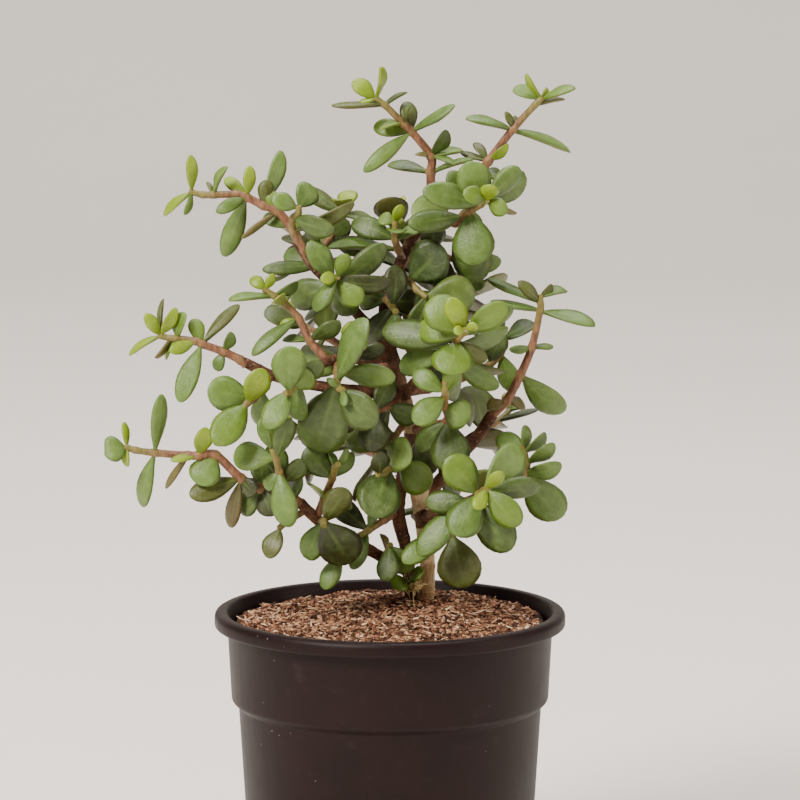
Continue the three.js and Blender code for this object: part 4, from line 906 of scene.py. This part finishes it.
         (4, 52, 158, 90, 8, 8)]]),
    ("back_centre", SHADE, [
        [(-2, 4, 221), (-1, 18, 220, 0, 20, 20), (1, 29, 220, 90, 20, 19), (4, 38, 222, 0, 18, 18),
         (7, 44, 225, 90, 8, 8)]]),
]
LIGHT = np.array([-0.15, -0.7, 0.7])
DROOP = 0.014  # how much a leaf points down for each millimetre past DROOP_FROM
DROOP_FROM = 8


def seeded(seed):
    """The same run of numbers from 0 to 1 that the plant's solids are drawn with."""
    state, mask = seed, 0xFFFFFFFF
    while True:
        state = (state + 0x6D2B79F5) & mask
        t = ((state ^ (state >> 15)) * (state | 1)) & mask
        t ^= (t + ((t ^ (t >> 7)) * (t | 61) & mask)) & mask
        yield (t ^ (t >> 14)) / 4294967296


draws = seeded(20)


def jitter(amount):
    """A drawn number between -amount and amount."""
    return (2 * next(draws) - 1) * amount


def unit(v):
    return v / np.linalg.norm(v)


def leaf_frame(root, way, face, length, width):
    """A leaf: where it roots, the way it points, the way its blade faces, and its size."""
    way = unit(way)
    face = unit(face - way * way.dot(face))
    return {"root": root, "way": way, "face": face, "across": np.cross(face, way), "length": length,
            "width": width, "thick": 1.0 + 0.06 * length}


def turned_about(v, axis, degrees):
    """A direction turned about an axis."""
    a = math.radians(degrees)
    return (v * math.cos(a) + np.cross(axis, v) * math.sin(a)
            + axis * axis.dot(v) * (1 - math.cos(a)))


def paired_leaf(joint, along, habit, roll, opened, length):
    """One leaf of a pair, from how the pair stands on its shoot."""
    turn, _, lean, breadth = habit
    front = unit(turn - along * along.dot(turn))
    side = np.cross(along, front)
    r = math.radians(roll + jitter(8))
    a = math.radians(opened + jitter(7))
    width = length * (breadth + jitter(0.07))
    lean += jitter(0.15)
    way = along * math.cos(a) + math.sin(a) * (side * math.cos(r) + front * math.sin(r))
    way[2] -= DROOP * max(length - DROOP_FROM, 0)
    way = unit(way)
    face = along * (1 - lean) + LIGHT * lean
    face = turned_about(unit(face - way * way.dot(face)), way, jitter(14))
    return leaf_frame(joint, way, face, length, width)


def single_leaf(joint, x, y, z, width, turned):
    """A leaf set by its tip, its width, and how far it is turned from facing the viewer."""
    way = np.array([x, y, z], float) - joint
    leaf = leaf_frame(joint, way, FRONT, np.linalg.norm(way), width)
    return leaf_frame(joint, way, turned_about(leaf["face"], leaf["way"], turned), leaf["length"], width)


RIM_SPOTS = 14


def leaf_points(leaf):
    """Points on the middle line of a leaf, round its rim and halfway in, to test what it touches."""
    spots = [(0.16, 0), (0.56, 0)]
    for i in range(RIM_SPOTS):
        a = i / RIM_SPOTS * 2 * math.pi
        spots.append((0.56 + 0.45 * math.cos(a), 0.5 * math.sin(a)))
        if i % 2 == 0:
            spots.append((0.56 + 0.24 * math.cos(a), 0.27 * math.sin(a)))
    spots = np.array(spots) * (leaf["length"], leaf["width"])
    return leaf["root"] + spots @ np.array([leaf["way"], leaf["across"]])


def leaf_touches(points, leaf, room):
    """Whether any of the points is within `room` of a leaf, taken as a flat oval."""
    q = points - leaf["root"]
    u = (q @ leaf["way"] - 0.54 * leaf["length"]) / (0.48 * leaf["length"] + 0.5 * room)
    v = q @ leaf["across"] / (0.5 * leaf["width"] + 0.5 * room)
    return bool(np.any((abs(q @ leaf["face"]) <= room) & (u * u + v * v < 1)))


def shoot_touches(points, shoot, room):
    """Whether any of the points is within `room` of a shoot's wood."""
    for start, end, radius in zip(shoot["points"], shoot["points"][1:], shoot["radii"]):
        span = end - start
        t = np.clip((points - start) @ span / span.dot(span), 0, 1)
        if np.any(((points - start - t[:, None] * span) ** 2).sum(1) < (radius + room) ** 2):
            return True
    return False


# What a leaf tries, in this order, until it is clear: sizes, and for each of them a swing and a tilt.
SIZES = (1, 0.92, 0.84, 0.76, 0.68)
SHIFTS = [(0, 0), (9, 0), (-9, 0), (0, 11), (0, -11), (15, 10), (-15, -10), (15, -10), (-15, 10),
          (0, 22), (0, -22), (26, 0), (-26, 0), (28, 24), (-28, -24), (28, -24), (-28, 24),
          (0, 38), (0, -38), (44, 0), (-44, 0)]
GAP = 0.3  # kept between two sprays
OWN_ROOM = 0.9  # between the middles of two leaves of one spray
RIM_CLEAR, RIM_CLEAR_TOP = 68, 118  # no leaf grows this near the pot's axis below this height


def grow_leaf(spray, joint, wanted, leaves, shoots):
    """The leaf clear of all others: it swings in its plane or tilts out of it, then grows smaller."""
    for scale in SIZES:
        for swing, tilt in SHIFTS:
            way = turned_about(wanted["way"], wanted["face"], swing)
            hinge = np.cross(wanted["face"], way)
            leaf = leaf_frame(wanted["root"], turned_about(way, hinge, tilt),
                              turned_about(wanted["face"], hinge, tilt), wanted["length"] * scale,
                              wanted["width"] * scale)
            points = leaf_points(leaf)
            middle = leaf["root"] + 0.5 * leaf["length"] * leaf["way"]
            if np.any((points[:, 2] < RIM_CLEAR_TOP) & (np.hypot(points[:, 0], points[:, 1]) < RIM_CLEAR)):
                continue
            if any(shoot["spray"] != spray and shoot_touches(points, shoot, 0.5 * leaf["thick"] + GAP)
                   for shoot in shoots):
                continue
            for other in leaves:
                near = 0.6 * (leaf["length"] + other["length"])
                if other["joint"] == joint or np.linalg.norm(middle - other["middle"]) > near:
                    continue
                apart = 0.5 * (leaf["thick"] + other["thick"]) + GAP
                room = OWN_ROOM if other["spray"] == spray else apart
                if leaf_touches(points, other, room) or leaf_touches(other["points"], leaf, room):
                    break
            else:
                return dict(leaf, spray=spray, joint=joint, points=points, middle=middle)
    return None


SHOOT_TIP, SHOOT_GAIN = 1.05, 0.12  # a shoot's radius at its tip, and what it gains from there


def shoot_radii(points):
    """The radius at each joint: it gains with the square root of the way that is left to the tip."""
    radii, left = [], 0.0
    for i in reversed(range(len(points))):
        if i < len(points) - 1:
            left += np.linalg.norm(points[i] - points[i + 1])
        radii.insert(0, SHOOT_TIP + SHOOT_GAIN * math.sqrt(left))
    return radii


shoots = [{"spray": "trunk", "points": points, "radii": radii}
          for points, radii in zip(wood_points, wood_radii)]
for spray, _, stems in SPRAYS:
    for stem in stems:
        points = [np.array(p[:3], float) for p in stem]
        shoots.append({"spray": spray, "points": points, "radii": shoot_radii(points)})


def wanted_leaves(growth, joint, along, habit, back):
    """The leaves at one joint, as they would stand with nothing in their way, and each one's look,
    which a leaf of a pair doesn't have. The joint is the one `back` joints before the tip."""
    if isinstance(growth[0], tuple):
        return [(single_leaf(joint, *leaf), look) for *leaf, look in growth]
    roll, first, second, *opened = growth
    opened = opened[0] if opened else habit[1][min(back, len(habit[1]) - 1)]
    return [(paired_leaf(joint, along, habit, roll, opened, first), None),
            (paired_leaf(joint, along, habit, roll + 180, opened, second), None)]


# The leaves set singly grow first, and the pairs fill what room they leave.
STEP = 0.0001  # on either side of a joint, for the way that the shoot runs there
leaves = []
for single in (True, False):
    growing = shoots[len(WOOD):]
    for spray, habit, stems in SPRAYS:
        for s, stem in enumerate(stems):
            points = growing.pop(0)["points"]
            for i, (x, y, z, *growth) in enumerate(stem):
                if not growth or isinstance(growth[0], tuple) != single:
                    continue
                t, back = i / (len(stem) - 1), len(stem) - 1 - i
                along = unit(along_route(points, min(t + STEP, 1)) - along_route(points, max(t - STEP, 0)))
                for wanted, look in wanted_leaves(growth, points[i], along, habit, back):
                    leaf = grow_leaf(spray, (spray, s, i), wanted, leaves, shoots)
                    if leaf:
                        to_tip = np.linalg.norm(points[-1] - points[i])
                        leaves.append(dict(leaf, look=look, to_tip=to_tip))


def leaf_shape(name, cup, bow, fold, skew):
    """A leaf one unit long and wide, rooted at the origin and pointing along Y. Its rim is obovate
    and it is thick and soft-edged. cup lifts the rim, bow bends the tip down, fold creases it along
    the middle, and skew swings the tip to one side. Its points know their place on the leaf."""
    angles = [math.radians(a) for a in (0, 18, 36, 54, 74)]
    stations = [(0.0, 0.05), (0.08, 0.10), (0.19, 0.23), (0.31, 0.35), (0.45, 0.45)]
    stations += [(0.6 + 0.4 * math.sin(a), 0.5 * math.cos(a)) for a in angles]
    around = [math.radians(a) for a in (0, 50, 130, 180, 230, 310)]
    verts, spots = [], []

    def put(u, v, up, thick):
        lift = cup * (2 * v) ** 2 - bow * (u - 0.25) ** 2 * (u > 0.25) - fold * math.exp(-(v / 0.09) ** 2)
        verts.append((v + skew * u * u, u, lift + 0.5 * up * thick))
        spots.append((u, 2 * v, up))

    for u, h in stations:
        thick = min(1.0, 0.75 + 1.2 * u) * min(1.0, (1.02 - u) / 0.28) ** 0.5
        for a in around:
            put(u, h * math.cos(a), math.sin(a), thick)
    put(1.0, 0.0, 0.0, 0.0)
    rows, sides, tip = len(stations), len(around), len(verts) - 1
    faces = ring_faces(rows, sides)
    faces += [(tip - sides + j, tip - sides + (j + 1) % sides, tip) for j in range(sides)]
    faces.append(tuple(range(sides))[::-1])
    mesh = bpy.data.meshes.new(name)
    mesh.from_pydata(verts, [], faces)
    mesh.shade_smooth()
    noted(mesh, "blade", spots, "FLOAT_VECTOR")
    return mesh


# Name, cup, bow, fold and skew. The first three are in the unit of a leaf's thickness.
LEAF_SHAPES = [("leaf_flat", 0.10, 0.5, 0.05, 0.03), ("leaf_cupped", 0.75, 0.3, 0.0, -0.04),
               ("leaf_bowed", 0.20, 2.2, 0.10, -0.02), ("leaf_spoon", 0.95, 1.6, 0.0, 0.05),
               ("leaf_creased", 0.45, 0.8, 0.28, 0.0), ("leaf_domed", -0.35, 0.9, 0.0, 0.02)]
leaf_kinds = kept("leaves", [leaf_shape(*shape) for shape in LEAF_SHAPES])

foliage, given = tree_with("foliage", Shapes="Collection", Material="Material")
blades = set_out(foliage, given["Shapes"], given["Geometry"], {
    "Instance Index": own_value(foliage, "kind", "INT"),
    "Rotation": own_value(foliage, "turn", "QUATERNION"),
    "Scale": own_value(foliage, "size", "FLOAT_VECTOR")})
foliage = ended(foliage, blades, given["Material"])

flesh = Finish("jade_leaf", Specular_IOR_Level=0.5, Subsurface_Weight=0.06, Subsurface_Scale=0.002,
               Subsurface_Radius=(0.6, 1.0, 0.25))
blade = flesh.add("ShaderNodeSeparateXYZ", {0: flesh.known("blade", "Vector")})
run, off, up = (Value(flesh, blade.socket.node.outputs[k]) for k in range(3))
youth, shade = flesh.known("youth"), flesh.known("shade")
tone, rust = flesh.known("tone"), flesh.known("rust")
mottle = flesh.noise(0.0035, 4)
fine = flesh.noise(0.0007, 3)
mature = flesh.ramp(tone + 0.5 * (mottle - 0.5), (0.0, "384f17"), (0.4, "4c6722"), (0.75, "637f33"),
                    (1.0, "799544"))
deep = flesh.ramp(tone + 0.4 * (mottle - 0.5), (0.0, "1e2804"), (0.5, "303f0b"), (1.0, "485917"))
fresh = flesh.ramp(tone + 0.5 * (mottle - 0.5), (0.0, "50700a"), (0.6, "6f8a10"), (1.0, "94a41c"))
# Leaves in the crown's shade are painted a darker green: painted shade.
green = flesh.mix(shade, mature, deep)
green = flesh.mix(youth, green, fresh)
rusty = flesh.ramp(rust, (0.0, "5f5f1c"), (0.5, "5c5418"), (1.0, "6b4a33"))
green = flesh.mix(rust.rise(0.0, 1.0, 0.0, 0.85), green, rusty)
rim = 1 - abs(up) + flesh.noise(0.004, 2).rise(0.3, 0.7, -0.08, 0.04)
under = (0 - up).rise(0.1, 0.7)
green = flesh.mix(under * 0.45, green, "7a763c")
bloom = up.rise(0.2, 0.9) * mottle.rise(0.38, 0.75) * (1 - youth)
green = flesh.mix(bloom * 0.16, green, "84a062")
darker = flesh.mix(1.0, green, "8f9a70", "MULTIPLY")
green = flesh.mix((1 - run.rise(0.1, 0.75)) * 0.3, green, darker)
vein = (1 - abs(off).rise(0.0, 0.16)) * (1 - run.rise(0.35, 0.9)) * 0.22
green = flesh.mix(vein, green, "7f9c48")
edge = rim.rise(0.84, 1.0) * (1 - 0.6 * youth)
flesh.feed(
    Base_Color=flesh.mix(edge * 0.55, green, "54301c"),
    Roughness=0.33 + 0.16 * mottle + 0.10 * fine - 0.04 * youth,
    Normal=flesh.bump(mottle * 2.0 + fine, 0.00022, 0.7),
)

sap = Finish("jade_shoot", Roughness=0.5, Specular_IOR_Level=0.4)
green_part, jointed = sap.known("green"), sap.known("joint")
streaky = sap.noise(0.0012, 4, place=sap.stretched(1, 1, 0.3))
ripe = sap.mix(streaky.rise(0.3, 0.7), "593726", "8b5f43")
tender = sap.mix(streaky.rise(0.3, 0.7), "5d5a28", "7c7638")
shoot_tone = sap.mix(green_part, ripe, tender)
sap.feed(
    Base_Color=sap.mix(jointed * 0.4, shoot_tone, "84703c"),
    Normal=sap.bump(streaky, 0.0003, 0.7),
)


KNOB_REACH = 2.2  # how far along the shoot a joint is thick
GREEN_TIP, GREEN_FADE = 2.0, 14  # how far from its tip a shoot is all green, and over how much it browns


def shoot_station(which, t, place, radius):
    """What a shoot is at a station: knobbed at its joints and green towards its tip."""
    knob = max(0.0, 1 - min(np.linalg.norm(place - j) for j in joints[which]) / KNOB_REACH)
    tip = np.linalg.norm(place - joints[which][-1])
    return {"girth": radius * (0.92 + 0.22 * knob ** 1.5), "joint": knob ** 2,
            "green": limited(1 - (tip - GREEN_TIP) / GREEN_FADE)}


SHOOT_END = 0.9  # a shoot's end past its last joint
GROWN, YOUNGER = 13.5, 5  # the length from which a leaf isn't young, and how much less is all young
YOUNG_REACH, YOUNG_FADE = 3, 14  # how far from the tip leaves are all young, and over how much they age
# Leaves further back in the crown, and those of shade sprays, get more painted shade.
INNER_FRONT, INNER_DEPTH = -12, 35  # where the shade starts, from front to back, and how deep it goes
# How young, how shaded, how pale and how rusty a leaf is that was set singly: yellow-green, bright,
# pale, green, dark, darkest, olive and reddish. The shade is painted shade: the dark and darkest looks are
# painted shade, and the olive one is partly painted shade.
LOOKS = {"y": (1.0, 0.0, 0.7, 0.0), "b": (0.42, 0.05, 0.45, 0.0), "p": (0.0, 0.05, 0.65, 0.0),
         "g": (0.0, 0.15, 0.5, 0.0), "d": (0.0, 0.7, 0.55, 0.0), "k": (0.0, 1.0, 0.1, 0.2),
         "o": (0.0, 0.85, 0.45, 0.45), "r": (0.0, 0.3, 0.6, 0.8)}
leaf_rng = np.random.default_rng(5)
for spray, habit, stems in SPRAYS:
    routes, joints = [], []
    for shoot in (s for s in shoots if s["spray"] == spray):
        points = shoot["points"]
        end = points[-1] + SHOOT_END * unit(points[-1] - points[-2])
        routes.append((points[:-1] + [end], shoot["radii"]))
        joints.append(points[1:])
    lines = strung(routes, 1.0, shoot_station)
    shoot_mesh = grown(spray + "_shoots", lines, tube, Sides=12, Material=sap.material)
    settled(shown(spray + "_shoots", shoot_mesh), "leaf", spray)

    mine = [leaf for leaf in leaves if leaf["spray"] == spray]
    spots = bpy.data.meshes.new("spots")
    spots.from_pydata([tuple(leaf["root"] * MM) for leaf in mine], [], [])
    turns, sizes, kinds, looks = [], [], [], []
    for leaf in mine:
        axes = Matrix(np.array([-leaf["across"], leaf["way"], leaf["face"]]).T.tolist())
        turns.append(axes.to_quaternion())
        sizes.append((leaf["width"] * MM, leaf["length"] * MM, leaf["thick"] * MM))
        kinds.append(int(leaf_rng.integers(len(LEAF_SHAPES))))
        small = limited((GROWN - leaf["length"]) / YOUNGER)
        young = small * limited(1 - (leaf["to_tip"] - YOUNG_REACH) / YOUNG_FADE)
        inner = (leaf["middle"][1] - INNER_FRONT) / INNER_DEPTH + 0.45 * (habit is SHADE)
        inner = limited(inner) * (1 - young)
        pale = leaf_rng.random()
        looks.append(LOOKS.get(leaf["look"], (young, inner, pale, 0.25 * pale)))
    noted(spots, "turn", turns, "QUATERNION")
    noted(spots, "size", sizes, "FLOAT_VECTOR")
    noted(spots, "kind", kinds, "INT")
    for name, values in zip(("youth", "shade", "tone", "rust"), zip(*looks)):
        noted(spots, name, values)
    leaf_mesh = grown(spray + "_leaves", spots, foliage, Shapes=leaf_kinds, Material=flesh.material)
    for v in leaf_mesh.vertices:  # no tip reaches past the plant's box
        v.co = [max(low, min(high, c)) for low, c, high in zip(cad_box[0], v.co, cad_box[1])]
    settled(shown(spray + "_leaves", leaf_mesh), "leaf", spray)

# ---- Studio ---------------------------------------------------------------------------------------
# The pot stands on a pale floor that sweeps up behind it. A large soft lamp in front at the left, a
# wide fill at the right, a narrow strip overhead and a lamp on the sweep light it, in a pale room.
SWEEP_START, SWEEP_RADIUS = 2.2, 1.5
bend = [(SWEEP_START + SWEEP_RADIUS * math.sin(a), SWEEP_RADIUS - SWEEP_RADIUS * math.cos(a))
        for a in np.linspace(0.1, math.pi / 2, 12)]
sweep = [(-2.0, 0.0), (SWEEP_START, 0.0), *bend, (SWEEP_START + SWEEP_RADIUS, 4.0)]
floor_mesh = bpy.data.meshes.new("floor")
floor_mesh.from_pydata([(x, y, z) for y, z in sweep for x in (-4.0, 4.0)], [],
                       [(2 * i, 2 * i + 1, 2 * i + 3, 2 * i + 2) for i in range(len(sweep) - 1)])
floor_mesh.shade_smooth()
paper = Finish("floor_paper", Roughness=0.9, Specular_IOR_Level=0.1)
paper.feed(Base_Color=paper.mix(paper.noise(0.4, 2), "e6e0da", "ece6e0"))
shown("floor", floor_mesh, paper.material)


def lamp(name, place, aim, width, height, power, tint):
    """A flat lamp at a place, aimed at a point, in metres and watts."""
    light = bpy.data.lights.new(name, "AREA")
    light.shape, light.size, light.size_y = "RECTANGLE", width, height
    light.energy, light.color = power, tint
    lit = linked(name, light)
    lit.location = place
    lit.rotation_euler = (Vector(aim) - Vector(place)).to_track_quat("-Z", "Y").to_euler()


lamp("key", (-1.1, -1.3, 1.5), (0, 0, 0.25), 0.7, 0.7, 86, (1.0, 0.95, 0.87))
lamp("side", (1.5, -0.5, 0.6), (0, 0, 0.15), 0.7, 1.1, 12, (1.0, 0.87, 0.77))
lamp("wash", (0, 0.6, 2.6), (0, 2.6, 0.2), 3.0, 1.0, 90, (1.0, 0.98, 0.96))
lamp("above", (0.1, 0.15, 1.5), (0, 0, 0.1), 0.9, 0.12, 10, (1.0, 0.98, 0.96))

room = bpy.data.worlds.new("room")
room.use_nodes = True
backdrop = room.node_tree.nodes["Background"]
backdrop.inputs["Color"].default_value = paint("eedccc")
backdrop.inputs["Strength"].default_value = 0.26
bpy.context.scene.world = room
